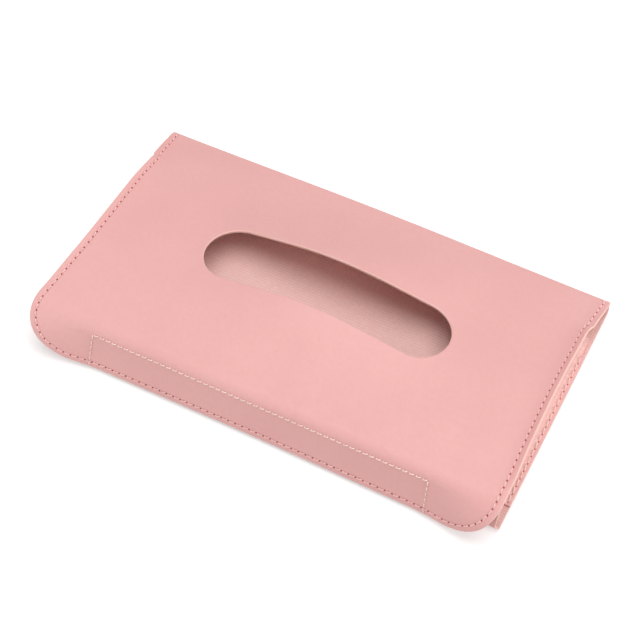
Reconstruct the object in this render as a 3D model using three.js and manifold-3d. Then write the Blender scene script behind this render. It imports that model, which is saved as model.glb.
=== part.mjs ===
// Car tissue holder: a folded pouch of thin leather that is strapped to a sun visor.
// Lengths are millimetres and angles are degrees. X runs along the pouch, +Y towards the spine
// fold, and +Z up through the flap, with the back panel lying flat.
// While the pieces are made, Y is counted from the outside of the closure lip's fold, and Z from
// the underside of the back panel. The group at the end moves them all to the holder's origin.
import * as THREE from 'three';
import Module from 'manifold-3d';
import { mergeVertices } from 'three/addons/utils/BufferGeometryUtils.js';

// The pouch as a whole
const pouchLength = 235;
const panelDepth = 127.5;
const crestHeight = 22.6;

// The sheets that a panel is made of, from the outside in
const coverThickness = 0.9;
const stiffenerThickness = 0.5;
const liningThickness = 0.4;
const sheetGap = 0.25;
const stiffenerInset = 6;

// The spine fold, where the flap turns over the back panel, and how far the flap opens on it
// before the gussets pull flat
const spineRadius = 2.75;
const spineSlope = 18;
const spineRunningGap = 0.3;
const liningSpineInset = 3;
const flapOpening = 14;

// The flap: its front wall, the bend above the wall, the pull of the gussets on its sides, and
// its rounded corners
const wallAngle = 70;
const wallFootHeight = 0.5;
const bendRadius = 6.5;
const sidePull = 3.7;
const flapCornerRadius = 24;

// The mouth that tissues are drawn through, and the way the flap swells round it
const mouthLength = 124;
const mouthWidth = 31;
const mouthFromLip = 65;
const mouthStiffenerMargin = 2.5;
const swellHeight = 9.5;
const swellHalfLength = 72;
const swellHalfDepth = 56;

// The closure lip: a strip folded up inside the front wall, narrower past its shoulders
const lipFoldRadius = 2;
const lipFoldGap = 0.15;
const lipHeight = 17;
const lipShoulderHeight = 5;
const lipShoulderRun = 6;
const lipTopLength = 176;

// The hook tape in the flap's wall and the loop tape on the lip
const tapeLength = 172;
const tapeGap = 0.3;
const tapeSeamInset = 1;
const hookTapeWidth = 18;
const hookTapeThickness = 1.6;
const hookTapeFromFoot = 0.6;
const loopTapeWidth = 12.5;
const loopTapeThickness = 2.2;
const loopTapeFromFold = 2.5;

// The gussets between the flap and the back panel
const gussetThickness = 0.8;
const gussetLap = 6;
const gussetFold = 24;
const gussetFoldAtBack = 7.5;
const gussetFront = 13;
const gussetBack = 97;
const gussetBackLean = 10;

// The elastic bands under the back panel, thinner where they are sewn down
const bandWidth = 25;
const bandThickness = 1.2;
const bandSewnThickness = 0.5;
const bandSewnLength = 14;
const bandRamp = 4;
const bandEndInset = 5;
const bandFromMiddle = 62;
const bandSeamInset = 2.5;

// The seams
const threadWidth = 0.6;
const threadHeight = 0.4;
const seamInset = 3.6;
const seamSpineInset = 4;
const seamCrossingGap = 0.5;
const gussetSeamEndInset = 1.5;

// How finely the curved sheets are divided, in counts
const cornerRows = 8;
const bendRows = 7;
const topRows = 15;
const flapColumns = 22;
const lipColumns = 2;
const gussetRows = 10;
const lipRows = 7;
const arcSteps = 12;
const seamCornerSteps = 20;

// Short lengths for finding a curved face's slope and for running a cut past its sheet
const slopeProbe = 0.2;
const cutOverrun = 10;

const wasm = await Module();
wasm.setup();

const radians = THREE.MathUtils.degToRad;
const halfLength = pouchLength / 2;
const liningDepth = coverThickness + stiffenerThickness + 2 * sheetGap;
const panelThickness = liningDepth + liningThickness;

// Unit directions in the YZ plane: up the flap's front wall, and out through it
const wallUp = { y: Math.cos(radians(wallAngle)), z: Math.sin(radians(wallAngle)) };
const wallOut = { y: -wallUp.z, z: wallUp.y };

// The wall stands off the centre of the lip's fold by everything that lies between them
const lipFold = { y: lipFoldRadius, z: lipFoldRadius };
const tapesThickness = hookTapeThickness + tapeGap + loopTapeThickness;
const wallStandoff = lipFoldRadius + sheetGap + tapesThickness + sheetGap + panelThickness;
const wallBase = along(lipFold, wallOut, wallStandoff);
const wallFoot = along(wallBase, wallUp, (wallFootHeight - wallBase.z) / wallUp.z);

// The bend turns the wall into the level crest
const bendCentreZ = crestHeight - bendRadius;
const bendAcross = wallStandoff - bendRadius - (bendCentreZ - lipFold.z) * wallOut.z;
const bendCentre = { y: lipFold.y + bendAcross / wallOut.y, z: bendCentreZ };
const wallTop = along(bendCentre, wallOut, bendRadius);
const wallLength = (wallTop.z - wallFoot.z) / wallUp.z;
const bendLength = bendRadius * radians(wallAngle);

// From the crest the flap falls in a parabola, which meets the spine fold at the spine's slope
const spineCentre = { y: panelDepth - spineRadius, z: spineRadius };
const spineOut = { y: Math.sin(radians(spineSlope)), z: Math.cos(radians(spineSlope)) };
const spineTop = along(spineCentre, spineOut, spineRadius);
const fallDepth = 2 * (crestHeight - spineTop.z) / Math.tan(radians(spineSlope));
const crestY = spineTop.y - fallDepth;
const crestStation = wallLength + bendLength;
const spineStation = crestStation + spineTop.y - bendCentre.y;

// The heights under the back panel: the bands' upper face and the holder's lowest face
const bandTop = -sheetGap;
const bandBottom = bandTop - bandThickness;

const paint = (color, roughness) => new THREE.MeshStandardMaterial({ color, roughness, metalness: 0 });
const leather = paint('#efb4ae', 0.6);
const cloth = paint('#d3a6a1', 0.9);
const board = paint('#e6d8c8', 0.9);
const tape = paint('#f2d6cc', 0.95);
const pinkThread = paint('#f8cfca', 0.7);
const creamThread = paint('#f3ddc9', 0.7);
const elastic = paint('#e7a9a4', 0.85);

// The point that lies a distance from another along a direction in the YZ plane
function along(point, direction, distance) {
  return { y: point.y + direction.y * distance, z: point.z + direction.z * distance };
}

function evenly(count, low, high) {
  return Array.from({ length: count + 1 }, (_, step) => low + (high - low) * step / count);
}

// One in the middle, falling smoothly to zero at the half width
function hump(distance, halfWidth) {
  const share = Math.min(1, Math.abs(distance) / halfWidth);
  return Math.cos(share * Math.PI / 2) ** 2;
}

// The flap's side profile. A station is the run along the wall and the bend from the wall's
// foot, and past the bend it grows as Y does.
function flapProfile(station) {
  if (station <= wallLength) {
    return along(wallFoot, wallUp, station);
  }
  if (station <= crestStation) {
    const angle = radians(wallAngle) - (station - wallLength) / bendRadius;
    return along(bendCentre, { y: -Math.sin(angle), z: Math.cos(angle) }, bendRadius);
  }
  const y = bendCentre.y + station - crestStation;
  const fallShare = Math.max(0, (y - crestY) / fallDepth);
  return { y, z: crestHeight - (crestHeight - spineTop.z) * fallShare ** 2 };
}

function stationAt(y) {
  return crestStation + y - bendCentre.y;
}

// A point of the flap's outer face
function flapPoint(station, x) {
  const side = flapProfile(station);
  const swell = swellHeight * hump(x, swellHalfLength) * hump(side.y - mouthFromLip, swellHalfDepth);
  return new THREE.Vector3(x, side.y, side.z + swell);
}

function flapNormal(station, x) {
  const alongX = flapPoint(station, x + slopeProbe).sub(flapPoint(station, x - slopeProbe));
  const alongStation = flapPoint(station + slopeProbe, x).sub(flapPoint(station - slopeProbe, x));
  return alongX.cross(alongStation).normalize();
}

// The point at a depth under the flap's outer face
function flapInside(station, x, depth) {
  return flapPoint(station, x).addScaledVector(flapNormal(station, x), -depth);
}

// Half the width, at a station, of a flap sheet cut back from the flap's edge by an inset
function flapHalfWidth(station, inset) {
  const levelShare = Math.max(0, station - crestStation) / (spineStation - crestStation);
  const pull = sidePull * Math.sin(Math.PI * Math.min(1, levelShare));
  const radius = flapCornerRadius - inset;
  const short = Math.max(0, flapCornerRadius - station);
  return halfLength - pull - flapCornerRadius + Math.sqrt(Math.max(0, radius ** 2 - short ** 2));
}

// The stations of a flap sheet's rows, from its edge to its end near the spine: close together
// round the corners and the bend, and even over the top
function flapStations(inset, end) {
  const radius = flapCornerRadius - inset;
  const quarter = evenly(cornerRows, 0, Math.PI / 2);
  const round = quarter.map((angle) => flapCornerRadius - radius * Math.cos(angle));
  const bend = evenly(bendRows, wallLength, crestStation).filter((station) => station > inset);
  const top = evenly(topRows, crestStation, end);
  const sorted = [...round, ...bend, ...top].sort((a, b) => a - b);
  return sorted.filter((station, row) => row === 0 || station - sorted[row - 1] > slopeProbe);
}

// Turns every face round if the solid is inside out
function facingOut(geometry) {
  const index = geometry.index.array;
  const { position } = geometry.attributes;
  const corner = [0, 1, 2].map(() => new THREE.Vector3());
  let volume = 0;
  for (let face = 0; face < index.length; face += 3) {
    corner.forEach((point, step) => point.fromBufferAttribute(position, index[face + step]));
    volume += corner[0].dot(corner[1].cross(corner[2]));
  }
  if (volume < 0) {
    for (let face = 0; face < index.length; face += 3) {
      [index[face + 1], index[face + 2]] = [index[face + 2], index[face + 1]];
    }
  }
  geometry.computeVertexNormals();
  return geometry;
}

// Closed solid from rings of points, each joined to the next. A ring goes out along one face
// and back along the other, so an end is closed by a strip between its two halves.
function loft(rings) {
  const size = rings[0].length;
  const last = (rings.length - 1) * size;
  const faces = [];
  for (let start = 0; start < last; start += size) {
    for (let step = 0; step < size; step += 1) {
      const here = start + step;
      const next = start + (step + 1) % size;
      faces.push(here, next, next + size, here, next + size, here + size);
    }
  }
  for (let step = 0; step + 1 < size / 2; step += 1) {
    const across = size - 1 - step;
    faces.push(step, across, across - 1, step, across - 1, step + 1);
    faces.push(last + step, last + across - 1, last + across);
    faces.push(last + step, last + step + 1, last + across - 1);
  }
  const positions = rings.flat().flatMap((point) => point.toArray());
  const geometry = new THREE.BufferGeometry();
  geometry.setAttribute('position', new THREE.Float32BufferAttribute(positions, 3));
  geometry.setIndex(faces);
  return facingOut(geometry);
}

// A sheet between two depths under a curved face. The face is given by station, x and depth, and
// the sheet's half width by station.
function sheet(stations, columns, halfWidthAt, pointAt, outerDepth, innerDepth) {
  const shares = evenly(columns, -1, 1);
  const rings = stations.map((station) => {
    const half = halfWidthAt(station);
    const outer = shares.map((share) => pointAt(station, share * half, outerDepth));
    const inner = shares.map((share) => pointAt(station, share * half, innerDepth));
    return [...outer, ...inner.reverse()];
  });
  return loft(rings);
}

// Solid of a constant outline in Y and Z, centred on X
function acrossPouch(outline, length) {
  const settings = { depth: length, bevelEnabled: false, curveSegments: arcSteps };
  const upright = new THREE.Matrix4().makeBasis(
    new THREE.Vector3(0, 1, 0),
    new THREE.Vector3(0, 0, 1),
    new THREE.Vector3(1, 0, 0),
  );
  const geometry = new THREE.ExtrudeGeometry(outline, settings).applyMatrix4(upright);
  return geometry.translate(-length / 2, 0, 0);
}

function outlineOf(points) {
  return new THREE.Shape(points.map(({ y, z }) => new THREE.Vector2(y, z)));
}

// Four corners of a strip that lies along the wall's direction, between two distances out from
// a line of the YZ plane and between two heights up it
function stripOutline(base, inner, outer, low, high) {
  const corner = (out, up) => along(along(base, wallOut, out), wallUp, up);
  return outlineOf([corner(inner, low), corner(outer, low), corner(outer, high), corner(inner, high)]);
}

// Level slab, centred on X
function slab(length, front, back, bottom, top) {
  const geometry = new THREE.BoxGeometry(length, back - front, top - bottom);
  return geometry.translate(0, (front + back) / 2, (bottom + top) / 2);
}

function toSolid(geometry) {
  const bare = geometry.clone();
  bare.deleteAttribute('normal');
  bare.deleteAttribute('uv');
  const merged = mergeVertices(bare);
  const vertProperties = new Float32Array(merged.attributes.position.array);
  const triVerts = new Uint32Array(merged.index.array);
  return new wasm.Manifold(new wasm.Mesh({ numProp: 3, vertProperties, triVerts }));
}

function cutAway(geometry, cutter) {
  const mesh = toSolid(geometry).subtract(toSolid(cutter)).getMesh();
  const result = new THREE.BufferGeometry();
  result.setAttribute('position', new THREE.Float32BufferAttribute(mesh.vertProperties, 3));
  result.setIndex(Array.from(mesh.triVerts));
  result.computeVertexNormals();
  return result;
}

// Upright cutter with the mouth's outline, widened all round by a margin
function mouthCutter(margin) {
  const radius = mouthWidth / 2 + margin;
  const toEnd = (mouthLength - mouthWidth) / 2;
  const outline = new THREE.Shape();
  outline.absarc(toEnd, 0, radius, -Math.PI / 2, Math.PI / 2, false);
  outline.absarc(-toEnd, 0, radius, Math.PI / 2, 3 * Math.PI / 2, false);
  const depth = crestHeight + swellHeight + cutOverrun;
  const settings = { depth, bevelEnabled: false, curveSegments: arcSteps };
  return new THREE.ExtrudeGeometry(outline, settings).translate(0, mouthFromLip, 0);
}

// A sheet of the flap between two depths, with the mouth cut through it
function flapSheet(inset, end, depth, thickness, mouthMargin) {
  const stations = flapStations(inset, end);
  const halfWidthAt = (station) => flapHalfWidth(station, inset);
  const whole = sheet(stations, flapColumns, halfWidthAt, flapInside, depth, depth + thickness);
  return cutAway(whole, mouthCutter(mouthMargin));
}

// The back cover is one leather with the spine fold, which it carries round to just short of
// the flap, so that the flap can turn on it
function backCover() {
  const foldEnd = radians(90 - spineSlope - flapOpening) - spineRunningGap / spineRadius;
  const front = lipFold.y + lipFoldGap;
  const foldStart = -Math.PI / 2;
  const outline = new THREE.Shape();
  outline.absarc(spineCentre.y, spineCentre.z, spineRadius, foldStart, foldEnd, false);
  outline.absarc(spineCentre.y, spineCentre.z, spineRadius - coverThickness, foldEnd, foldStart, true);
  outline.lineTo(front, coverThickness);
  outline.lineTo(front, 0);
  outline.closePath();
  return acrossPouch(outline, pouchLength);
}

function backStiffener() {
  const length = pouchLength - 2 * stiffenerInset;
  const bottom = coverThickness + sheetGap;
  return slab(length, stiffenerInset, spineCentre.y - stiffenerInset, bottom, bottom + stiffenerThickness);
}

function backLining() {
  return slab(pouchLength, lipFold.y + lipFoldRadius, spineCentre.y, liningDepth, panelThickness);
}

// The lip's face: round its fold from just past the back cover's front edge, then straight up.
// The run is counted up the straight part, and is negative round the fold.
const lipFoldTurn = radians(180 - wallAngle) - (lipFoldGap + sheetGap) / lipFoldRadius;
const lipFoldRun = lipFoldRadius * lipFoldTurn;

function lipInside(run, x, depth) {
  const angle = Math.min(0, run) / lipFoldRadius;
  const out = {
    y: wallOut.y * Math.cos(angle) + wallOut.z * Math.sin(angle),
    z: wallOut.z * Math.cos(angle) - wallOut.y * Math.sin(angle),
  };
  const start = along(lipFold, out, lipFoldRadius - depth);
  const point = along(start, wallUp, Math.max(0, run));
  return new THREE.Vector3(x, point.y, point.z);
}

function lipHalfWidth(run) {
  const step = (pouchLength - lipTopLength) / 2;
  const shoulderEnd = lipShoulderHeight + lipShoulderRun;
  return halfLength - step * THREE.MathUtils.smoothstep(run, lipShoulderHeight, shoulderEnd);
}

function lipStraightRuns(start) {
  const shoulder = evenly(lipRows, lipShoulderHeight, lipShoulderHeight + lipShoulderRun);
  return [start, ...shoulder, lipHeight];
}

function lipCover() {
  const fold = evenly(arcSteps, -lipFoldRun, 0);
  const runs = [...fold, ...lipStraightRuns(lipFoldRadius)];
  return sheet(runs, lipColumns, lipHalfWidth, lipInside, 0, coverThickness);
}

function lipLining() {
  const depth = coverThickness + sheetGap;
  const runs = lipStraightRuns(sheetGap);
  return sheet(runs, lipColumns, lipHalfWidth, lipInside, depth, depth + liningThickness);
}

function loopTape() {
  const inner = lipFoldRadius + sheetGap;
  const top = loopTapeFromFold + loopTapeWidth;
  const outline = stripOutline(lipFold, inner, inner + loopTapeThickness, loopTapeFromFold, top);
  return acrossPouch(outline, tapeLength);
}

function hookTape() {
  const outer = -panelThickness - sheetGap;
  const top = hookTapeFromFoot + hookTapeWidth;
  const outline = stripOutline(wallFoot, outer - hookTapeThickness, outer, hookTapeFromFoot, top);
  return acrossPouch(outline, tapeLength);
}

// A line of points drawn beside another at a distance, in X and Z. It keeps each point's Y.
function besideLine(points, distance) {
  const normals = points.slice(1).map((point, step) => {
    const run = point.clone().sub(points[step]).setY(0).normalize();
    return new THREE.Vector3(run.z, 0, -run.x);
  });
  return points.map((point, step) => {
    const before = normals[Math.max(0, step - 1)];
    const after = normals[Math.min(normals.length - 1, step)];
    const mitre = before.clone().add(after).normalize();
    return point.clone().addScaledVector(mitre, distance / mitre.dot(after));
  });
}

// A gusset's cross-section on the +X side, from the back panel's edge in to the fold and out
// again to the flap's edge
function gussetRing(share) {
  const { lerp } = THREE.MathUtils;
  const lowY = lerp(gussetFront, gussetBack, share);
  const highStation = stationAt(lerp(gussetFront, gussetBack + gussetBackLean, share));
  const highEdge = flapHalfWidth(highStation, 0);
  const lowZ = panelThickness + sheetGap;
  const lowOuter = new THREE.Vector3(halfLength, lowY, lowZ);
  const lowInner = new THREE.Vector3(halfLength - gussetLap, lowY, lowZ);
  const highOuter = flapInside(highStation, highEdge, lowZ);
  const highInner = flapInside(highStation, highEdge - gussetLap, lowZ);
  const fold = lowInner.clone().add(highInner).multiplyScalar(1 / 2);
  fold.setX(halfLength - lerp(gussetFold, gussetFoldAtBack, share));
  const pocketFace = [lowOuter, lowInner, fold, highInner, highOuter];
  return [...pocketFace, ...besideLine(pocketFace, gussetThickness).reverse()];
}

function gusset(side) {
  const rings = evenly(gussetRows, 0, 1).map(gussetRing);
  rings.flat().forEach((point) => point.setX(point.x * side));
  return loft(rings);
}

// Thread laid along places on a face, each with the point and the way out of the face
function strand(places) {
  const rings = places.map(({ point, out }, index) => {
    const before = places[Math.max(0, index - 1)].point;
    const after = places[Math.min(places.length - 1, index + 1)].point;
    const side = after.clone().sub(before).cross(out).setLength(threadWidth / 2);
    const low = point.clone().addScaledVector(out, sheetGap);
    const high = low.clone().addScaledVector(out, threadHeight);
    return [low.clone().sub(side), low.clone().add(side), high.clone().add(side), high.clone().sub(side)];
  });
  return loft(rings);
}

// Thread on the flap's outer face, drawn through stations and distances from the middle on the
// +X side, and back through the same on the other side
function flapStrand(sidePlaces) {
  const mirrored = sidePlaces.map(([station, x]) => [station, -x]).reverse();
  const places = [...sidePlaces, ...mirrored].map(([station, x]) => {
    return { point: flapPoint(station, x), out: flapNormal(station, x) };
  });
  return strand(places);
}

function perimeterThread() {
  const side = evenly(topRows, spineStation - seamSpineInset, crestStation);
  const bend = evenly(bendRows, crestStation, flapCornerRadius).slice(1);
  const radius = flapCornerRadius - seamInset;
  const corner = evenly(seamCornerSteps, 0, Math.PI / 2).slice(1).map((angle) => {
    const x = halfLength - flapCornerRadius + radius * Math.cos(angle);
    return [flapCornerRadius - radius * Math.sin(angle), x];
  });
  const straight = [...side, ...bend].map((station) => [station, flapHalfWidth(station, seamInset)]);
  return flapStrand([...straight, ...corner]);
}

// The hook tape's seam shows on the wall as two short sides and a long top
function hookTapeThread() {
  const x = tapeLength / 2 - tapeSeamInset;
  const bottom = seamInset + threadWidth + seamCrossingGap;
  const top = hookTapeFromFoot + hookTapeWidth - tapeSeamInset;
  return flapStrand([[bottom, x], [top, x]]);
}

// Ring of thread with square corners, lying level with its lower face at zero
function threadFrame(length, depth) {
  const rectangle = (grow) => [[-1, -1], [1, -1], [1, 1], [-1, 1]].map(([x, y]) => {
    return new THREE.Vector2(x * (length + grow) / 2, y * (depth + grow) / 2);
  });
  const outline = new THREE.Shape(rectangle(threadWidth));
  outline.holes.push(new THREE.Path(rectangle(-threadWidth)));
  return new THREE.ExtrudeGeometry(outline, { depth: threadHeight, bevelEnabled: false });
}

// The loop tape's seam shows as a ring on the lip's inner face
function loopTapeThread() {
  const depth = loopTapeWidth - 2 * tapeSeamInset;
  const innerFace = lipFoldRadius - coverThickness - sheetGap - liningThickness;
  const middle = along(lipFold, wallUp, loopTapeFromFold + loopTapeWidth / 2);
  const seat = along(middle, wallOut, innerFace - sheetGap);
  const place = new THREE.Matrix4().makeBasis(
    new THREE.Vector3(-1, 0, 0),
    new THREE.Vector3(0, wallUp.y, wallUp.z),
    new THREE.Vector3(0, -wallOut.y, -wallOut.z),
  );
  place.setPosition(0, seat.y, seat.z);
  return threadFrame(tapeLength - 2 * tapeSeamInset, depth).applyMatrix4(place);
}

function gussetThread(side) {
  const seat = panelThickness + sheetGap + gussetThickness;
  const out = new THREE.Vector3(0, 0, 1);
  const x = side * (halfLength - seamInset);
  const ends = [gussetFront + gussetSeamEndInset, gussetBack - gussetSeamEndInset];
  return strand(ends.map((y) => ({ point: new THREE.Vector3(x, y, seat), out })));
}

// A band lies along Y, with a step up at each end where it is sewn to the back cover
const bandFront = bandEndInset;
const bandBack = spineCentre.y - bandEndInset;
const bandSewnBottom = bandTop - bandSewnThickness;

function band(side) {
  const outline = outlineOf([
    { y: bandFront, z: bandTop },
    { y: bandFront, z: bandSewnBottom },
    { y: bandFront + bandSewnLength, z: bandSewnBottom },
    { y: bandFront + bandSewnLength + bandRamp, z: bandBottom },
    { y: bandBack - bandSewnLength - bandRamp, z: bandBottom },
    { y: bandBack - bandSewnLength, z: bandSewnBottom },
    { y: bandBack, z: bandSewnBottom },
    { y: bandBack, z: bandTop },
  ]);
  return acrossPouch(outline, bandWidth).translate(side * bandFromMiddle, 0, 0);
}

// The ring of stitches that holds one end of a band, clear of the holder's lowest face
function bandThread(side, middleY) {
  const frame = threadFrame(bandWidth - 2 * bandSeamInset, bandSewnLength - 2 * bandSeamInset);
  const top = bandSewnBottom - sheetGap;
  return frame.translate(side * bandFromMiddle, middleY, top - threadHeight);
}

function piece(name, geometry, material) {
  const mesh = new THREE.Mesh(geometry, material);
  mesh.name = name;
  return mesh;
}

function backPanel() {
  const group = new THREE.Group();
  group.add(piece('back_cover', backCover(), leather));
  group.add(piece('back_stiffener', backStiffener(), board));
  group.add(piece('back_lining', backLining(), cloth));
  for (const [name, side] of [['left', -1], ['right', 1]]) {
    group.add(piece(`${name}_gusset`, gusset(side), leather));
    group.add(piece(`${name}_gusset_thread`, gussetThread(side), pinkThread));
    group.add(piece(`${name}_band`, band(side), elastic));
    const frontMiddle = bandFront + bandSewnLength / 2;
    const spineMiddle = bandBack - bandSewnLength / 2;
    group.add(piece(`${name}_band_front_thread`, bandThread(side, frontMiddle), pinkThread));
    group.add(piece(`${name}_band_spine_thread`, bandThread(side, spineMiddle), pinkThread));
  }
  return group;
}

function flap() {
  const group = new THREE.Group();
  const cover = flapSheet(0, spineStation, 0, coverThickness, 0);
  const lining = flapSheet(0, spineStation - liningSpineInset, liningDepth, liningThickness, 0);
  const stiffenerEnd = spineStation - stiffenerInset;
  const stiffenerDepth = coverThickness + sheetGap;
  const stiffener = flapSheet(
    stiffenerInset, stiffenerEnd, stiffenerDepth, stiffenerThickness, mouthStiffenerMargin,
  );
  group.add(piece('front_cover', cover, leather));
  group.add(piece('front_stiffener', stiffener, board));
  group.add(piece('front_lining', lining, cloth));
  group.add(piece('hook_tape', hookTape(), tape));
  group.add(piece('perimeter_thread', perimeterThread(), pinkThread));
  group.add(piece('hook_tape_thread', hookTapeThread(), creamThread));
  return group;
}

function closureLip() {
  const group = new THREE.Group();
  group.add(piece('lip_cover', lipCover(), leather));
  group.add(piece('lip_lining', lipLining(), cloth));
  group.add(piece('loop_tape', loopTape(), tape));
  group.add(piece('loop_tape_thread', loopTapeThread(), creamThread));
  return group;
}

// The origin is under the middle of the holder, level with the bands' lowest faces
const holder = new THREE.Group();
holder.add(backPanel(), flap(), closureLip());
holder.position.set(0, -(wallFoot.y + panelDepth) / 2, -bandBottom);

export default holder;
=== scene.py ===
import math
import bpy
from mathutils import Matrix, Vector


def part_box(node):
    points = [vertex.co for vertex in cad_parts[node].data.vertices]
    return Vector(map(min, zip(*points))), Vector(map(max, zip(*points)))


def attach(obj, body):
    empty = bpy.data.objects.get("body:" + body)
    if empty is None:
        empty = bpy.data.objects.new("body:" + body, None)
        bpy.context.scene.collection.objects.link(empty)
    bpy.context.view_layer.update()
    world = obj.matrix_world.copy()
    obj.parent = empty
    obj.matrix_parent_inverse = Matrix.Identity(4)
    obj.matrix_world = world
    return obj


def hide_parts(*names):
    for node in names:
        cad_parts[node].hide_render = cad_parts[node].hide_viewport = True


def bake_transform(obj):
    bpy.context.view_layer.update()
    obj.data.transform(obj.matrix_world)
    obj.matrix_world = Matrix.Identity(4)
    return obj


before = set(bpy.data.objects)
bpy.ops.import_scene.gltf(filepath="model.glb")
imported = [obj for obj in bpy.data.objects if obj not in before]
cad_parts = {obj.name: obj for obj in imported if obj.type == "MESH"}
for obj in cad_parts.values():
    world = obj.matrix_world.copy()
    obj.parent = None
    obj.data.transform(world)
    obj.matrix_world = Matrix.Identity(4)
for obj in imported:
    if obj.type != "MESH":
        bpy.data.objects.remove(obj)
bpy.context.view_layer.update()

from types import SimpleNamespace

import bmesh
import bpy
import numpy as np
from bpy.props import FloatProperty, FloatVectorProperty, IntProperty, PointerProperty
from mathutils import Matrix, Vector
from mathutils.geometry import delaunay_2d_cdt

bl_info = {
    "name": "Car tissue holder",
    "version": (1, 0, 0),
    "blender": (4, 5, 0),
    "location": "3D View > Sidebar > Tissue Holder",
    "description": "Makes the leather pouch with its seams, tapes, gussets and bands",
    "category": "Add Mesh",
}

# Sizes are shown in metres in the panel and used in millimetres in the code. While a piece is
# made, Y is counted from the outside of the lip's fold and Z from the back panel's underside.
MM = 0.001
BACK_LOW, BACK_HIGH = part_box("back_cover")


def size(label, words, value):
    """A length for the panel, from its value in millimetres."""
    return FloatProperty(
        name=label, description=words, default=value * MM, unit="LENGTH", precision=5
    )


def angle(label, words, degrees):
    return FloatProperty(
        name=label, description=words, default=math.radians(degrees), subtype="ANGLE"
    )


def tint(label, words, red, green, blue):
    """A colour for the panel, from its display values out of 255."""
    return FloatVectorProperty(
        name=label,
        description=words,
        default=(red / 255, green / 255, blue / 255),
        subtype="COLOR_GAMMA",
        min=0,
        max=1,
    )


class PouchSizes(bpy.types.PropertyGroup):
    """The folded leather sheet and the cloth and boards behind it"""

    length: size("Length", "From side to side", (BACK_HIGH.x - BACK_LOW.x) / MM)
    depth: size("Depth", "From the lip's fold to the spine fold", 127.5)
    crest: size("Crest height", "Top of the flap's sides over the back panel", 22.6)
    leather: size("Leather thickness", "Of the outer leather", 0.9)
    board: size("Board thickness", "Of the stiffening boards", 0.5)
    lining: size("Lining thickness", "Of the lining cloth", 0.4)
    gap: size("Sheet gap", "Between two sheets of the panel", 0.25)
    edge_depth: size("Edge lining depth", "Where the lining meets the leather's edge", 0.95)
    board_inset: size("Board inset", "From the panel's edge to the board", 6)
    wall_angle: angle("Wall angle", "Lean of the front wall", 70)
    wall_foot: size("Wall foot height", "Of the flap's front edge", 0.5)
    bend_radius: size("Bend radius", "Of the bend above the wall", 6.5)
    corner_radius: size("Corner radius", "Of the flap's two front corners", 24)
    side_pull: size("Side pull", "How far the gussets draw in the flap's sides", 2.55)
    nip: size("Nip", "How far a gusset's back end draws in the flap's edge", 0.7)
    skew: size("Skew", "How far the flap's middle lies to the right", 1.1)
    spine_radius: size("Spine radius", "Outside of the spine fold", 2.75)
    spine_slope: angle("Spine slope", "Of the flap where it meets the spine", 18)
    spine_round: size("Spine rounding", "How far the fold's ends draw in", 0.6)
    spine_bow: size("Spine bow", "How far the middle of the fold bows out", 1.1)
    front_round: size("Front rounding", "How far the lip's sides are drawn in", 1.7)
    swell: size("Swell", "Rise of the flap round the mouth", 11.3)
    swell_length: size("Swell half length", "Along the pouch", 72)
    swell_depth: size("Swell half depth", "Across the pouch", 56)
    ripple: size("Ripple", "Of the faint waves on the flap's top", 0.08)
    bow: size("Foot bow", "How far the wall's foot bows inwards", 0.8)
    flare: size("Flare", "How far the lip fold's two ends stand out", 1.2)
    curl_rise: size("Curl rise", "Of the broad strips beside the curls", 1)
    curl_width: size("Curl width", "Of the strips that the gussets turn up", 5)
    curl_right: angle("Right curl", "Turn of the flap's right edge", 50)
    curl_left: angle("Left curl", "Turn of the flap's left edge", 25)
    end_radius: size("End bend radius", "Of the bend at the pouch's two ends", 20.4)
    end_angle: angle("End wall angle", "Lean of the wall at the two ends", 76)
    end_back: size("End bend start", "How far behind the crest it starts", 3.8)
    end_from: size("Ends from", "From the middle to where the bend softens", 77)


class MouthSizes(bpy.types.PropertyGroup):
    """The opening that tissues are drawn through"""

    length: size("Length", "Of the mouth", 124.2)
    width: size("Width", "Of the mouth", 31)
    from_lip: size("From the lip", "From the lip's fold to the mouth's middle", 64.6)
    board_margin: size("Board margin", "From the mouth's edge to the board", 2.5)


class ClosureSizes(bpy.types.PropertyGroup):
    """The lip, and the hook and loop tapes"""

    fold_radius: size("Fold radius", "Outside of the lip's fold", 2)
    lip_height: size("Lip height", "Of the straight part of the lip", 17)
    shoulder: size("Shoulder height", "Where the lip starts to narrow", 7)
    shoulder_run: size("Shoulder run", "Over which the lip narrows", 5)
    lip_top: size("Lip top length", "Of the lip's upper edge", 176)
    tape_length: size("Tape length", "Of both tapes", 172)
    tape_gap: size("Tape gap", "Between the closed tapes", 0.3)
    tape_seam: size("Tape seam inset", "From the tape's edge to its seam", 0.9)
    seam_lean: size("Seam lean", "How far the hook seam's sides lean in", 1.1)
    hook_width: size("Hook tape width", "Of the tape in the flap's wall", 19.6)
    hook_thickness: size("Hook tape thickness", "With its hooks", 1.6)
    hook_from_foot: size("Hook tape from foot", "Up the wall", 0.6)
    loop_width: size("Loop tape width", "Of the tape on the lip", 12.5)
    loop_thickness: size("Loop tape thickness", "With its pile", 2.2)
    loop_from_fold: size("Loop tape from fold", "Up the lip", 2.5)
    tape_base: size("Tape base", "Thickness of a tape's woven ground", 0.55)


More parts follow.
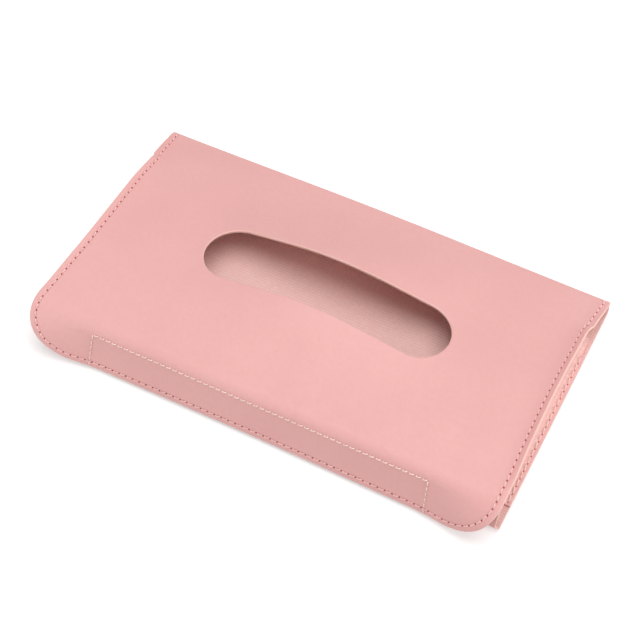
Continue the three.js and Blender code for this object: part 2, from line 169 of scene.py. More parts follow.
class GussetSizes(bpy.types.PropertyGroup):
    """The folded leather at the pouch's two sides"""

    thickness: size("Thickness", "Of the gusset leather", 0.8)
    lap: size("Lap", "Width sewn to the panels", 6)
    clearance: size("Clearance", "Between a lap and the lining under it", 0.12)
    fold: size("Fold depth", "Inward reach of the fold at the front", 24)
    fold_back: size("Fold depth at back", "Inward reach of the fold at the back", 7.5)
    front: size("Front end", "From the lip's fold", 11.4)
    back: size("Back end", "Of the lower leaf, from the lip's fold", 97)
    back_lean: size("Back lean", "How much further back the upper leaf ends", 8.8)
    step: size("Step", "How much shorter the lower leaf's outer strip is", 11.5)
    tuck: size("Tuck", "From the flap's edge to the upper leaf's", 1.4)
    seam_inset: size("Seam inset", "From the panel's edge to the lower seam", 1.65)


class BandSizes(bpy.types.PropertyGroup):
    """The elastic bands under the back panel"""

    width: size("Width", "Of each band", 25)
    thickness: size("Thickness", "Of the free band", 1.2)
    sewn: size("Sewn thickness", "Where the band is sewn down", 0.5)
    sewn_length: size("Sewn length", "At each end of the band", 14)
    end_inset: size("End inset", "From the panel's edges to the band", 5)
    ramp: size("Ramp", "Over which the band thickens", 4)
    from_middle: size("From middle", "Between the pouch's middle and the band's", 62)
    seam_inset: size("Seam inset", "From the band's edges to its seam", 2.5)
    rib: size("Rib", "Rise of the band's lengthwise cords", 0.16)


class SeamSizes(bpy.types.PropertyGroup):
    """The stitches"""

    inset: size("Seam inset", "From the leather's edge to the seam", 3.05)
    pitch: size("Pitch", "From hole to hole round the flap", 3.55)
    gusset_pitch: size("Gusset pitch", "From hole to hole on the gussets", 4.05)
    tape_pitch: size("Tape pitch", "From hole to hole on the tapes", 3.17)
    band_pitch: size("Band pitch", "From hole to hole on the bands, at most", 2.6)
    thread: size("Thread width", "Of one stitch", 0.76)
    gusset_thread: size("Gusset thread width", "Of one stitch on the gussets", 0.9)
    rise: size("Rise", "Of a stitch over the leather", 0.42)
    groove: size("Groove", "How deep a seam draws in the leather", 0.14)
    hole: size("Hole depth", "How deep the needle's holes are", 0.28)
    hole_length: size("Hole length", "Along the seam", 1.15)
    hole_width: size("Hole width", "Across the seam", 0.85)
    slant: angle("Slant", "Of a stitch to its seam", 7)
    seed: IntProperty(name="Seed", description="Of the stitches' small differences", default=7)


class HolderColours(bpy.types.PropertyGroup):
    """The finishes' colours, as they are displayed"""

    leather: tint("Leather", "Outer leather", 240, 182, 178)
    leather_dark: tint("Leather shade", "Deeper tone of its mottling", 233, 171, 168)
    # Gusset grain: pale raised grain, partly a painted highlight where the leaves face the light.
    gusset_pale_grain_and_highlight: tint("Gusset grain", "Pale raised grain of the gussets", 255, 221, 214)
    cut_edge: tint("Cut edge", "Raw edge of the leather", 253, 208, 193)
    # Painted shade: the dark red of the needle holes, also laid on the gussets' cut ends.
    hole: tint("Needle hole", "Inside of the stitch holes", 172, 78, 78)
    lining: tint("Lining", "Raised ribs of the lining", 255, 225, 219)
    # Painted shade: the lining's darker colour, which falls between its ribs and threads; the
    # board takes it as a fibre tone.
    lining_dark: tint("Lining shade", "Between the lining's ribs", 240, 187, 180)
    pink_thread: tint("Pink thread", "Seams round the flap", 255, 216, 213)
    pale_thread: tint("Pale thread", "Seams of the gussets", 255, 232, 226)
    cream_thread: tint("Cream thread", "Seams of the tapes", 255, 234, 222)
    tape: tint("Tape", "Hook and loop tapes", 240, 196, 190)
    elastic: tint("Elastic", "Bands under the panel", 232, 170, 166)
    board: tint("Board", "Stiffening boards", 214, 190, 168)


class HolderSettings(bpy.types.PropertyGroup):
    """All the sizes and colours of the holder"""

    pouch: PointerProperty(type=PouchSizes)
    mouth: PointerProperty(type=MouthSizes)
    closure: PointerProperty(type=ClosureSizes)
    gusset: PointerProperty(type=GussetSizes)
    bands: PointerProperty(type=BandSizes)
    seams: PointerProperty(type=SeamSizes)
    colours: PointerProperty(type=HolderColours)


def measures(group):
    """A group's lengths in millimetres and its other values as they are, by name."""
    found = {}
    for key in group.__annotations__:
        value = getattr(group, key)
        is_length = group.bl_rna.properties[key].unit == "LENGTH"
        found[key] = value / MM if is_length else value
    return SimpleNamespace(**found)


def rising(value, start, end):
    """Zero up to the start and one from the end on, with a smooth rise between them."""
    share = np.clip((value - start) / (end - start), 0, 1)
    return share * share * (3 - 2 * share)


def falling(value, start, end):
    return 1 - rising(value, start, end)


def hump(distance, half_width):
    """One in the middle, falling smoothly to zero at the half width."""
    return np.cos(np.minimum(1, np.abs(distance) / half_width) * np.pi / 2) ** 2


def unit(vectors):
    return vectors / np.linalg.norm(vectors, axis=-1, keepdims=True)


def points(x, y, z):
    return np.stack(np.broadcast_arrays(x, y, z), -1).astype(float)


def even(low, high, step):
    """Numbers from low to high, about a step apart."""
    return np.linspace(low, high, max(1, round(abs(high - low) / step)) + 1)


def divided(line, steps):
    """A row of numbers with each gap between two of them divided into steps."""
    last = len(line) - 1
    return np.interp(np.arange(last * steps + 1) / steps, np.arange(last + 1), line)


def from_hole(number, steps, pitch):
    """Distance to the nearest needle hole, where every so many steps is a hole."""
    return np.minimum(number % steps, -number % steps) * pitch / steps


FAR = 99.0  # stands for any distance beyond the reach of an edge
SPINE_END = 6  # reach of the rounding at the spine fold's two ends
SEAM_END = 1.2  # how far the perimeter seam runs on round the spine fold
SEAM_SAMPLES = 6000  # points at which the perimeter seam's length is measured


class PouchShape:
    """The pouch's curved faces, in millimetres, worked out from the sizes."""

    def __init__(self, settings):
        self.pouch = p = measures(settings.pouch)
        self.mouth = measures(settings.mouth)
        self.closure = c = measures(settings.closure)
        self.gusset = g = measures(settings.gusset)
        self.bands = measures(settings.bands)
        self.seams = measures(settings.seams)
        self.colours = settings.colours
        self.half = p.length / 2
        self.gusset_end = g.back + g.back_lean
        self.lining_depth = p.leather + p.board + 2 * p.gap
        self.panel = self.lining_depth + p.lining
        self.wall_up = np.array([0, math.cos(p.wall_angle), math.sin(p.wall_angle)])
        self.wall_out = np.array([0, -self.wall_up[2], self.wall_up[1]])
        self.lip_fold = np.array([0, c.fold_radius, c.fold_radius])
        tapes = c.hook_thickness + c.tape_gap + c.loop_thickness
        standoff = c.fold_radius + 2 * p.gap + tapes + self.panel
        base = self.lip_fold + self.wall_out * standoff
        rise = (p.wall_foot - base[2]) / self.wall_up[2]
        self.foot = base + self.wall_up * rise
        bend_z = p.crest - p.bend_radius
        across = standoff - p.bend_radius - (bend_z - self.lip_fold[2]) * self.wall_out[2]
        self.bend = np.array([0, self.lip_fold[1] + across / self.wall_out[1], bend_z])
        wall_top = self.bend[2] + p.bend_radius * self.wall_out[2]
        self.wall_length = (wall_top - self.foot[2]) / self.wall_up[2]
        self.crest_station = self.wall_length + p.bend_radius * p.wall_angle
        self.spine = np.array([0, p.depth - p.spine_radius, p.spine_radius])
        self.spine_y = self.spine[1] + p.spine_radius * math.sin(p.spine_slope)
        self.spine_z = self.spine[2] + p.spine_radius * math.cos(p.spine_slope)
        self.fall = 2 * (p.crest - self.spine_z) / math.tan(p.spine_slope)
        self.crest_y = self.spine_y - self.fall
        self.spine_station = self.crest_station + self.spine_y - self.bend[1]
        self.spine_arc = p.spine_radius * (math.pi - p.spine_slope)
        self.end_station = self.spine_station + self.spine_arc
        self.origin = np.array([0, -(self.foot[1] + p.depth) / 2, BACK_LOW.z / MM])

    def placed(self, found):
        """Points moved to the holder's own frame, in metres. The middle of the wall's foot bows
        in, that of the spine bows out and the ends of the lip's fold stand out."""
        p = self.pouch
        found = np.asarray(found, float).reshape(-1, 3).copy()
        x, y, z = found.T.copy()
        near = falling(z, 0, 20) * falling(y, 2, 32)
        far = rising(y, p.depth - 30, p.depth - 4)
        found[:, 1] += hump(x, self.half) * (p.bow * near + p.spine_bow * far)
        at_fold = rising(y, -4, -1) * falling(y, 3, 21) * falling(z, 0, 9)
        found[:, 1] -= p.flare * at_fold * rising(np.abs(x), 98, 117)
        return (found + self.origin) * MM

    def front(self, station, radius, lean, back):
        """Y and Z of the flap's front, with a bend that starts some way behind the crest."""
        run = self.crest_station - station + back
        turn = np.clip(run / radius, 0, lean)
        straight = np.maximum(0, run - radius * lean)
        y = self.bend[1] + back - np.minimum(0, run)
        y = y - radius * np.sin(turn) - straight * math.cos(lean)
        z = self.pouch.crest - radius * (1 - np.cos(turn)) - straight * math.sin(lean)
        return y, z

    def profile(self, station, x):
        """Y and Z of the flap's outer face at a station, which is the run up from its foot. The
        bend over the wall is wider at the pouch's two ends."""
        p = self.pouch
        station, x = np.broadcast_arrays(np.asarray(station, float), np.asarray(x, float))
        y, z = self.front(station, p.bend_radius, p.wall_angle, 0)
        end_y, end_z = self.front(station, p.end_radius, p.end_angle, p.end_back)
        at_end = rising(np.abs(x), p.end_from, self.half)
        y, z = y + (end_y - y) * at_end, z + (end_z - z) * at_end
        share = np.maximum(0, (self.bend[1] + station - self.crest_station - self.crest_y))
        z = z - (p.crest - self.spine_z) * (share / self.fall) ** 2
        turn = math.pi / 2 - p.spine_slope - (station - self.spine_station) / p.spine_radius
        in_spine = station > self.spine_station
        y = np.where(in_spine, self.spine[1] + p.spine_radius * np.cos(turn), y)
        z = np.where(in_spine, self.spine[2] + p.spine_radius * np.sin(turn), z)
        return y, z

    def station_at(self, y):
        return self.crest_station + y - self.bend[1]

    def half_width(self, station, inset=0):
        """Half the flap's width at a station, less an inset."""
        p = self.pouch
        station = np.asarray(station, float)
        level = (station - self.crest_station) / (self.spine_station - self.crest_station)
        pull = p.side_pull * np.sin(np.pi * np.clip(level, 0, 1))
        behind = self.station_at(self.gusset_end) - station
        nip = p.nip * rising(behind, -1, 0.4) * falling(behind, 1, 21)
        middle = self.spine_station + self.spine_arc / 2
        rounding = p.spine_round * hump(station - middle, SPINE_END)
        short = np.maximum(0, p.corner_radius - station)
        corner = np.sqrt(np.maximum(0, (p.corner_radius - inset) ** 2 - short**2))
        return self.half - pull - nip - rounding - p.corner_radius + corner

    def back_half(self, y):
        """Half the back panel's width, drawn in a little at the spine fold."""
        to_spine = self.spine[1] - y + self.spine_arc / 2
        return self.half - self.pouch.spine_round * hump(to_spine, SPINE_END)

    def curl(self, station, x, y):
        """How far the gussets lift the flap's edges and draw them in. They hold the edges less
        behind their own ends, and the two folds stay flat."""
        p = self.pouch
        inset = self.half_width(np.minimum(station, self.spine_station)) - np.abs(x)
        run = np.maximum(0, p.curl_width - inset)
        sewn = falling(y, self.gusset_end - 3.5, self.gusset_end - 1)
        held = rising(y, -2, 32) * (0.4 + 0.6 * sewn)
        held = held * falling(y, self.spine[1] - 10, self.spine[1] - 1)
        least = 1e-4  # keeps the radius finite where nothing is turned
        turn = np.where(np.asarray(x) > 0, p.curl_right, p.curl_left) * held + least
        radius = p.curl_width / turn
        lift = radius * (1 - np.cos(run / radius))
        lift = lift + p.curl_rise * hump(y - 76, 42) * falling(inset, 0, 16) ** 1.5
        return lift, np.sign(x) * (run - radius * np.sin(run / radius))

    def waves(self, station, x, y):
        """The faint waves of the flap's top."""
        on_top = rising(station, self.crest_station, self.crest_station + 8)
        on_top = on_top * falling(station, self.spine_station - 8, self.spine_station)
        wave = np.sin(x * 0.11 + y * 0.05) + np.sin(x * 0.047 - y * 0.13 + 1)
        return self.pouch.ripple * wave * on_top

    def flap_point(self, station, x):
        """Points of the flap's outer face. Its middle swells, and the gussets turn up its
        edges."""
        p = self.pouch
        y, z = self.profile(station, x)
        swell = p.swell * hump(x, p.swell_length) * hump(y - self.mouth.from_lip, p.swell_depth)
        lift, draw = self.curl(station, x, y)
        skew = p.skew * hump(y - 45, 75)
        skew = skew * rising(station, self.crest_station - 4, self.crest_station + 10)
        return points(x - draw + skew, y, z + swell + lift + self.waves(station, x, y))

    def flap_normal(self, station, x):
        probe = 0.1
        along = self.flap_point(station, x + probe) - self.flap_point(station, x - probe)
        up = self.flap_point(station + probe, x) - self.flap_point(station - probe, x)
        return unit(np.cross(along, up))

    def flap_inside(self, station, x, depth):
        """Points at a depth under the flap's outer face."""
        depth = np.asarray(depth, float)[..., None]
        return self.flap_point(station, x) - self.flap_normal(station, x) * depth

    def lining_top(self, inset, from_mouth=FAR):
        """Depth of the lining's face next to the leather, which it meets at the edges."""
        depth = self.lining_depth - self.pouch.edge_depth
        near = rising(inset, 1.5, 5.9) * rising(from_mouth, 0.3, 2.4)
        return self.pouch.edge_depth + depth * near

    def edge_lengths(self, end):
        """Lengths of the flap's straight side, of a corner's seam, and of all three sides."""
        p = self.pouch
        side = end - p.corner_radius
        corner = (p.corner_radius - self.seams.inset) * np.pi / 2
        return side, corner, 2 * (side + corner) + p.length - 2 * p.corner_radius

    def edge(self, run, inset, end):
        """Stations and x beside the flap's edge. The run goes from the right end of the spine
        round both front corners to its left end."""
        p = self.pouch
        side, corner, total = self.edge_lengths(end)
        far = run > total / 2
        run = np.where(far, total - run, run)
        turn = np.clip((run - side) / corner, 0, 1) * np.pi / 2
        radius = p.corner_radius - inset
        station = np.where(run <= side, end - run, p.corner_radius - radius * np.sin(turn))
        x = self.half - p.corner_radius + radius * np.cos(turn)
        x = np.where(run <= side, self.half_width(end - run, inset), x)
        beyond = self.half - p.corner_radius - (run - side - corner)
        x = np.where(run > side + corner, beyond, x)
        return station, np.where(far, -x, x)

    def seam_runs(self, steps):
        """Runs of the perimeter seam's points: every so many steps is a needle hole."""
        end = self.end_station
        first = self.spine_arc - SEAM_END
        dense = np.linspace(first, self.edge_lengths(end)[2] - first, SEAM_SAMPLES)
        station, x = self.edge(dense, self.seams.inset, end)
        at = self.flap_point(station, x)
        lengths = np.linalg.norm(np.diff(at, axis=0), axis=1)
        reach = np.concatenate([[0], np.cumsum(lengths)])
        count = round(reach[-1] / self.seams.pitch)
        return np.interp(np.linspace(0, reach[-1], count * steps + 1), reach, dense)

    def lip_point(self, run, x, depth):
        """Points of the lip, which goes round its fold where the run is negative."""
        radius = self.closure.fold_radius
        turn = np.minimum(0, run) / radius
        out = points(
            0,
            self.wall_out[1] * np.cos(turn) + self.wall_out[2] * np.sin(turn),
            self.wall_out[2] * np.cos(turn) - self.wall_out[1] * np.sin(turn),
        )
        found = self.lip_fold + out * (radius - np.asarray(depth, float))[..., None]
        found = found + self.wall_up * np.maximum(0, run)[..., None]
        found[..., 0] = x
        return found

    def lip_half(self, run):
        c = self.closure
        drawn = self.pouch.front_round * rising(run, -2.6, -0.2)
        step = (self.pouch.length - c.lip_top) / 2 - self.pouch.front_round
        return self.half - drawn - step * rising(run, c.shoulder, c.shoulder + c.shoulder_run)


def linear(colour):
    """A displayed colour as the light values that a shader works with."""
    return [c / 12.92 if c <= 0.04045 else ((c + 0.055) / 1.055) ** 2.4 for c in colour]


class Nodes:
    """A node tree whose nodes are added and joined one call at a time."""

    def __init__(self, tree):
        self.tree = tree

    def give(self, socket, value):
        if isinstance(value, bpy.types.NodeSocket):
            self.tree.links.new(value, socket)
        else:
            socket.default_value = value

    def node(self, kind, inputs=None, **settings):
        made = self.tree.nodes.new(kind)
        for key, value in settings.items():
            setattr(made, key, value)
        for key, value in (inputs or {}).items():
            self.give(made.inputs[key], value)
        return made

    def work(self, operation, *values):
        """The result of one sum."""
        inputs = dict(enumerate(values))
        return self.node("ShaderNodeMath", inputs, operation=operation).outputs[0]

    def between(self, value, low, high, bottom=0.0, top=1.0):
        inputs = {"Value": value, "From Min": low, "From Max": high}
        inputs.update({"To Min": bottom, "To Max": top})
        return self.node("ShaderNodeMapRange", inputs).outputs["Result"]

    def seen(self):
        """One for what the camera, a reflection or glass sees, and zero for lighting."""
        rays = self.node("ShaderNodeLightPath").outputs
        found = self.work("MAXIMUM", rays["Is Camera Ray"], rays["Is Glossy Ray"])
        return self.work("MAXIMUM", found, rays["Is Transmission Ray"])


class Finish(Nodes):
    """A material in the making."""

    def __init__(self, name):
        self.material = bpy.data.materials.new(name)
        self.material.use_nodes = True
        super().__init__(self.material.node_tree)
        self.shader = self.tree.nodes["Principled BSDF"]
        self.place = self.node("ShaderNodeTexCoord").outputs["Object"]

    def noise(self, scale, detail):
        inputs = {"Vector": self.place, "Scale": scale, "Detail": detail}
        return self.node("ShaderNodeTexNoise", inputs).outputs["Fac"]

    def cells(self, scale):
        inputs = {"Vector": self.place, "Scale": scale}
        return self.node("ShaderNodeTexVoronoi", inputs).outputs["Distance"]

    def attribute(self, name):
        return self.node("ShaderNodeAttribute", attribute_name=name).outputs["Fac"]

    def weave(self):
        """The two ways of a cloth's flat map, in metres."""
        flat = self.node("ShaderNodeUVMap", uv_map="weave").outputs["UV"]
        parts = self.node("ShaderNodeSeparateXYZ", {0: flat}).outputs
        return parts[0], parts[1]

    def wave(self, way, pitch):
        """A sine wave with one crest to each pitch, in metres."""
        return self.work("SINE", self.work("MULTIPLY", way, 2 * math.pi / pitch))

    def mixed(self, share, first, second):
        """Two colours mixed. Each is a socket, or a displayed colour from the panel."""
        made = self.node("ShaderNodeMix", data_type="RGBA")
        self.give(made.inputs[0], share)
        for socket, colour in ((made.inputs[6], first), (made.inputs[7], second)):
            is_socket = isinstance(colour, bpy.types.NodeSocket)
            self.give(socket, colour if is_socket else (*linear(colour), 1))
        return made.outputs[2]

    def bump(self, *layers):
        """A normal from pairs of a height and its distance in metres, laid one on another."""
        normal = None
        for height, distance in layers:
            inputs = {"Height": height, "Distance": distance, "Strength": 1.0}
            if normal:
                inputs["Normal"] = normal
            normal = self.node("ShaderNodeBump", inputs).outputs["Normal"]
        return normal

    def done(self, colour, roughness, normal):
        self.give(self.shader.inputs["Base Color"], colour)
        self.give(self.shader.inputs["Roughness"], roughness)
        self.give(self.shader.inputs["Normal"], normal)
        return self.material


def leather_finish(f, colours, pale_grain_and_highlight=False):
    """Matte grained leather, with pale cut edges and needle holes darkened by painted shade."""
    broad = f.between(f.noise(26, 3), 0.35, 0.65, 0.1, 0.5)
    pebble = f.cells(1250)
    fibre = f.noise(2600, 3)
    colour = f.mixed(broad, colours.leather, colours.leather_dark)
    fine = f.between(f.noise(520, 4), 0.3, 0.7)
    colour = f.mixed(f.work("MULTIPLY", fine, 0.35), colour, colours.leather_dark)
    if pale_grain_and_highlight:
        # Pale grain spots, partly real grain and partly a painted highlight on the leaves that
        # face the light.
        pale_spots_and_highlight = f.between(f.noise(1900, 4), 0.34, 0.6, 0.25, 1.0)
        pale_spots_and_highlight = f.work("MULTIPLY", pale_spots_and_highlight, f.attribute("grain"))
        colour = f.mixed(pale_spots_and_highlight, colour, colours.gusset_pale_grain_and_highlight)
    edge = f.between(f.attribute("cut_edge"), 0.3, 0.75)
    pores = f.between(fibre, 0.4, 0.75, 0.0, 0.3)
    raw = f.mixed(pores, colours.cut_edge, colours.leather_dark)
    colour = f.mixed(edge, colour, raw)
    # Painted shade: the needle holes, and the gussets' shaded cut ends, take the hole colour.
    hole = f.between(f.attribute("hole"), 0.25, 0.6)
    colour = f.mixed(hole, colour, colours.hole)
    crease = 0.00009 if pale_grain_and_highlight else 0.00003
    grain = f.bump((pebble, 0.00004), (fibre, 0.00003), (fine, crease))
    return f.done(colour, f.between(fine, 0, 1, 0.5, 0.64), grain)


def gusset_finish(f, colours):
    """The gussets' leather, whose pale raised grain is partly a painted highlight."""
    return leather_finish(f, colours, pale_grain_and_highlight=True)


def cloth_finish(f, colours):
    """Ribbed lining cloth: ribs along the pouch over a fine plain weave."""
    rib_pitch, thread_pitch = 0.0014, 0.00055
    along, across = f.weave()
    wander = f.work("MULTIPLY", f.noise(60, 2), 2.5)
    run = f.work("MULTIPLY_ADD", across, 2 * math.pi / rib_pitch, wander)
    rib = f.between(f.work("SINE", run), -1, 1)
    plain = f.work("MULTIPLY", f.wave(along, thread_pitch), f.wave(across, thread_pitch))
    plain = f.between(plain, -1, 1)
    slub = f.noise(900, 3)
    # Painted shade: the colour darkens in the grooves between the ribs and between the weave's
    # threads; the slub adds random tone.
    share = f.between(rib, 0, 1, 0.35, 1)
    share = f.work("MULTIPLY", share, f.between(slub, 0.3, 0.7, 0.4, 1))
    share = f.work("MULTIPLY", share, f.between(plain, 0, 1, 0.6, 1))
    colour = f.mixed(share, colours.lining_dark, colours.lining)
    normal = f.bump((rib, 0.00005), (plain, 0.00006), (slub, 0.00005))
    return f.done(colour, f.between(slub, 0, 1, 0.82, 0.95), normal)


def thread_finish(f, tone, shade):
    """Twisted polyester thread."""
    fibres = f.noise(3800, 3)
    colour = f.mixed(f.between(fibres, 0.35, 0.7, 0, 0.6), tone, shade)
    return f.done(colour, f.between(fibres, 0, 1, 0.5, 0.75), f.bump((fibres, 0.00004)))


def tape_finish(f, colours):
    """Nylon hooks, pile and woven ground of the closure tapes."""
    fluff = f.noise(1500, 5)
    colour = f.mixed(f.between(fluff, 0.3, 0.7, 0, 0.8), colours.tape, colours.leather_dark)
    return f.done(colour, f.between(fluff, 0, 1, 0.6, 0.95), f.bump((fluff, 0.00012)))


def elastic_finish(f, colours):
    """Woven elastic: lengthwise cords crossed by fine picks."""
    pick_pitch, cord_pitch = 0.0007, 0.0025
    across, along = f.weave()
    pick = f.work("MULTIPLY", along, 2 * math.pi / pick_pitch)
    shifted = f.work("ADD", pick, f.work("MULTIPLY", f.wave(across, cord_pitch), 1.4))
    knit = f.between(f.work("SINE", shifted), -1, 1)
    fuzz = f.noise(1400, 3)
    share = f.work("MULTIPLY", knit, f.between(fuzz, 0.3, 0.7, 0.5, 1))
    colour = f.mixed(share, colours.leather_dark, colours.elastic)
    normal = f.bump((knit, 0.00012), (fuzz, 0.00005))
    return f.done(colour, f.between(fuzz, 0, 1, 0.7, 0.9), normal)


def board_finish(f, colours):
    """Grey board of pressed fibres."""
    fibres = f.noise(900, 6)
    colour = f.mixed(f.between(fibres, 0.3, 0.7), colours.board, colours.lining_dark)
    normal = f.bump((fibres, 0.00008), (f.cells(400), 0.00003))
    return f.done(colour, f.between(fibres, 0, 1, 0.8, 0.95), normal)


FINISHES = {
    "leather": leather_finish,
    "gusset_leather": gusset_finish,
    "lining": cloth_finish,
    "stiffener": board_finish,
    "tape": tape_finish,
    "elastic": elastic_finish,
    "pink_thread": lambda f, c: thread_finish(f, c.pink_thread, c.leather),
    "gusset_thread": lambda f, c: thread_finish(f, c.pale_thread, c.pink_thread),
    "cream_thread": lambda f, c: thread_finish(f, c.cream_thread, c.tape),
}


def finish_for(kind, colours):
    """The material of one kind of finish, made the first time it is asked for."""
    name = kind.replace("_", " ") + " finish"
    return bpy.data.materials.get(name) or FINISHES[kind](Finish(name), colours)


def add_object(name, mesh):
    made = bpy.data.objects.new(name, mesh)
    bpy.context.scene.collection.objects.link(made)
    return made


def mesh_piece(shape, name, solid, slot, values=None, weave=None):
    """A closed piece from its points and faces, with point values for its material and a flat
    map for woven patterns. All lengths are given in millimetres."""
    verts, faces = solid
    mesh = bpy.data.meshes.new(name)
    mesh.from_pydata(shape.placed(verts).tolist(), [], faces)
    for key, numbers in (values or {}).items():
        layer = mesh.attributes.new(key, "FLOAT", "POINT")
        layer.data.foreach_set("value", np.asarray(numbers, np.float32))
    if weave is not None:
        corners = np.empty(len(mesh.loops), np.int32)
        mesh.loops.foreach_get("vertex_index", corners)
        layer = mesh.uv_layers.new(name="weave")
        layer.uv.foreach_set("vector", (weave[corners] * MM).astype(np.float32).ravel())
    whole = bmesh.new()
    whole.from_mesh(mesh)
    bmesh.ops.recalc_face_normals(whole, faces=whole.faces)
    whole.to_mesh(mesh)
    whole.free()
    mesh.shade_smooth()
    mesh.materials.append(finish_for(slot, shape.colours))
    made = add_object(name, mesh)
    return made


def closed_grid(outer, inner):
    """Points and faces of a sheet between two grids of points, closed round its edges."""
    rows, columns = outer.shape[:2]
    count = rows * columns
    number = np.arange(count).reshape(rows, columns)

    def quads(a, b, c, d):
        return np.stack([a.ravel(), b.ravel(), c.ravel(), d.ravel()], 1)

    face = quads(number[:-1, :-1], number[:-1, 1:], number[1:, 1:], number[1:, :-1])
    rim = np.concatenate([number[0], number[1:, -1], number[-1, -2::-1], number[-2:0:-1, 0]])
    after = np.roll(rim, -1)
    sides = quads(rim, after, after + count, rim + count)
    faces = np.concatenate([face, face[:, ::-1] + count, sides[:, ::-1]])
    verts = np.concatenate([outer.reshape(-1, 3), inner.reshape(-1, 3)])
    return verts, faces.tolist()


def flat_map(x, y):
    """The flat map of a closed grid, the same on its two faces."""
    x, y = np.broadcast_arrays(x, y)
    return np.tile(np.stack([x.ravel(), y.ravel()], 1), (2, 1))


def mirrored(columns, half):
    """Columns at given distances in from both sides, as shares of half the width."""
    share = 1 - columns / half
    return np.concatenate([share, -share[-2::-1]])


def stadium(shape, margin, count):
    """Stations and x round the mouth, a margin out from its edge."""
    straight = shape.mouth.length - shape.mouth.width
    radius = shape.mouth.width / 2
    run = np.linspace(0, 2 * straight + 2 * np.pi * radius, count, endpoint=False)
    half = straight + np.pi * radius
    turned = run >= half
    run = np.where(turned, run - half, run)
    bent = np.clip((run - straight) / radius, 0, np.pi)
    x = np.where(run < straight, run - straight / 2, straight / 2)
    x = x + (radius + margin) * np.sin(bent)
    y = -(radius + margin) * np.cos(bent)
    sign = np.where(turned, -1, 1)
    return shape.station_at(shape.mouth.from_lip) + sign * y, sign * x


def from_mouth(shape, station, x):
    """Distance out from the mouth's edge."""
    straight = (shape.mouth.length - shape.mouth.width) / 2
    beyond = np.maximum(0, np.abs(x) - straight)
    y = station - shape.station_at(shape.mouth.from_lip)
    return np.hypot(beyond, y) - shape.mouth.width / 2


def inside_triangles(flat, ring, hole):
    """Triangles that fill a flat ring but leave a hole in it open. The ring is given clockwise
    and the hole counterclockwise, as numbers of the flat points."""
    edges = [(a, b) for loop in (ring, hole) for a, b in zip(loop, np.roll(loop, -1))]
    vectors = [Vector(p) for p in flat.tolist()]
    found = delaunay_2d_cdt(vectors, [(int(a), int(b)) for a, b in edges], [], 0, 1e-7)
    first = [numbers[0] for numbers in found[3]]
    tris = np.array([[first[i] for i in face] for face in found[2]])
    for loop in (ring, hole):
        rank = np.full(len(flat), -1)
        rank[loop] = np.arange(len(loop))
        ranks = np.sort(rank[tris], axis=1)
        all_on = ranks[:, 0] >= 0
        a, b, c = (flat[np.asarray(loop)[np.maximum(ranks[:, k], 0)]] for k in range(3))
        turn = (b - a)[:, 0] * (c - a)[:, 1] - (b - a)[:, 1] * (c - a)[:, 0]
        tris = tris[~(all_on & (turn > 0))]
    return tris


def ribbon(here, there, closed=False):
    """Faces between two rows of numbered points."""
    faces = np.stack([there, np.roll(there, -1), np.roll(here, -1), here], 1)
    return (faces if closed else faces[:-1]).tolist()


# How far the grid of a flap sheet keeps from its rings of points, from its front, from the rows
# along the tape's seam and from its back end.
RING_ROOM, FRONT_ROOM, ROW_ROOM, END_ROOM = 0.8, 0.6, 0.7, 0.3


def flap_pattern(shape, end, runs, insets, mouth_count, margins, grid, rows=()):
    """A flap sheet laid flat, by station and x: rings of points beside its edge and the mouth,
    and a grid between them, with its faces and its two edge loops."""
    sides = [shape.edge(runs, inset, end) for inset in insets]
    rounds = [stadium(shape, margin, mouth_count) for margin in margins]
    station, x = (a.ravel() for a in np.meshgrid(*grid, indexing="ij"))
    keep = shape.half_width(station, insets[-1]) - np.abs(x) > RING_ROOM
    keep &= station > insets[-1] + FRONT_ROOM
    keep &= from_mouth(shape, station, x) > margins[-1] + RING_ROOM
    for row_station, row_x in rows:
        beside = (x > row_x.min() - ROW_ROOM) & (x < row_x.max() + ROW_ROOM)
        beside &= station > row_station.min() - ROW_ROOM
        beside &= station < row_station.max() + ROW_ROOM
        keep &= ~beside
    last = keep & (station > end - 1e-6)
    rest = keep & (station < end - END_ROOM)
    parts = [*sides, *rounds, (station[last], x[last]), (station[rest], x[rest]), *rows]
    starts = np.cumsum([0] + [len(part[0]) for part in parts])
    rings = [np.arange(*ends) for ends in zip(starts[:-1], starts[1:])]
    station, x = (np.concatenate([part[way] for part in parts]) for way in (0, 1))
    inset = np.full(len(x), FAR)
    for ring, value in zip(rings, insets):
        inset[ring] = value
    side_rings, mouth_rings = rings[: len(sides)], rings[len(sides) :][: len(rounds)]
    faces = []
    for here, there in zip(side_rings, side_rings[1:]):
        faces += ribbon(here, there)
    for here, there in zip(mouth_rings, mouth_rings[1:]):
        faces += ribbon(here, there, closed=True)
    inner = len(sides) + len(rounds)
    spine = rings[inner][np.argsort(x[rings[inner]])]
    flat = np.stack([x, station], 1)
    hole = mouth_rings[-1]
    used = np.unique(np.concatenate([side_rings[-1], hole, *rings[inner:]]))
    where = np.full(len(x), -1)
    where[used] = np.arange(len(used))
    ring = np.concatenate([side_rings[-1], spine])
    faces += used[inside_triangles(flat[used], where[ring], where[hole])].tolist()
    firsts = [ring[0] for ring in side_rings[:0:-1]]
    lasts = [ring[-1] for ring in side_rings[1:]]
    outline = np.concatenate([side_rings[0], lasts, spine, firsts])
    return SimpleNamespace(
        station=station,
        x=x,
        inset=inset,
        margin=from_mouth(shape, station, x),
        faces=faces,
        loops=[outline, mouth_rings[0]],
        rings=rings,
    )


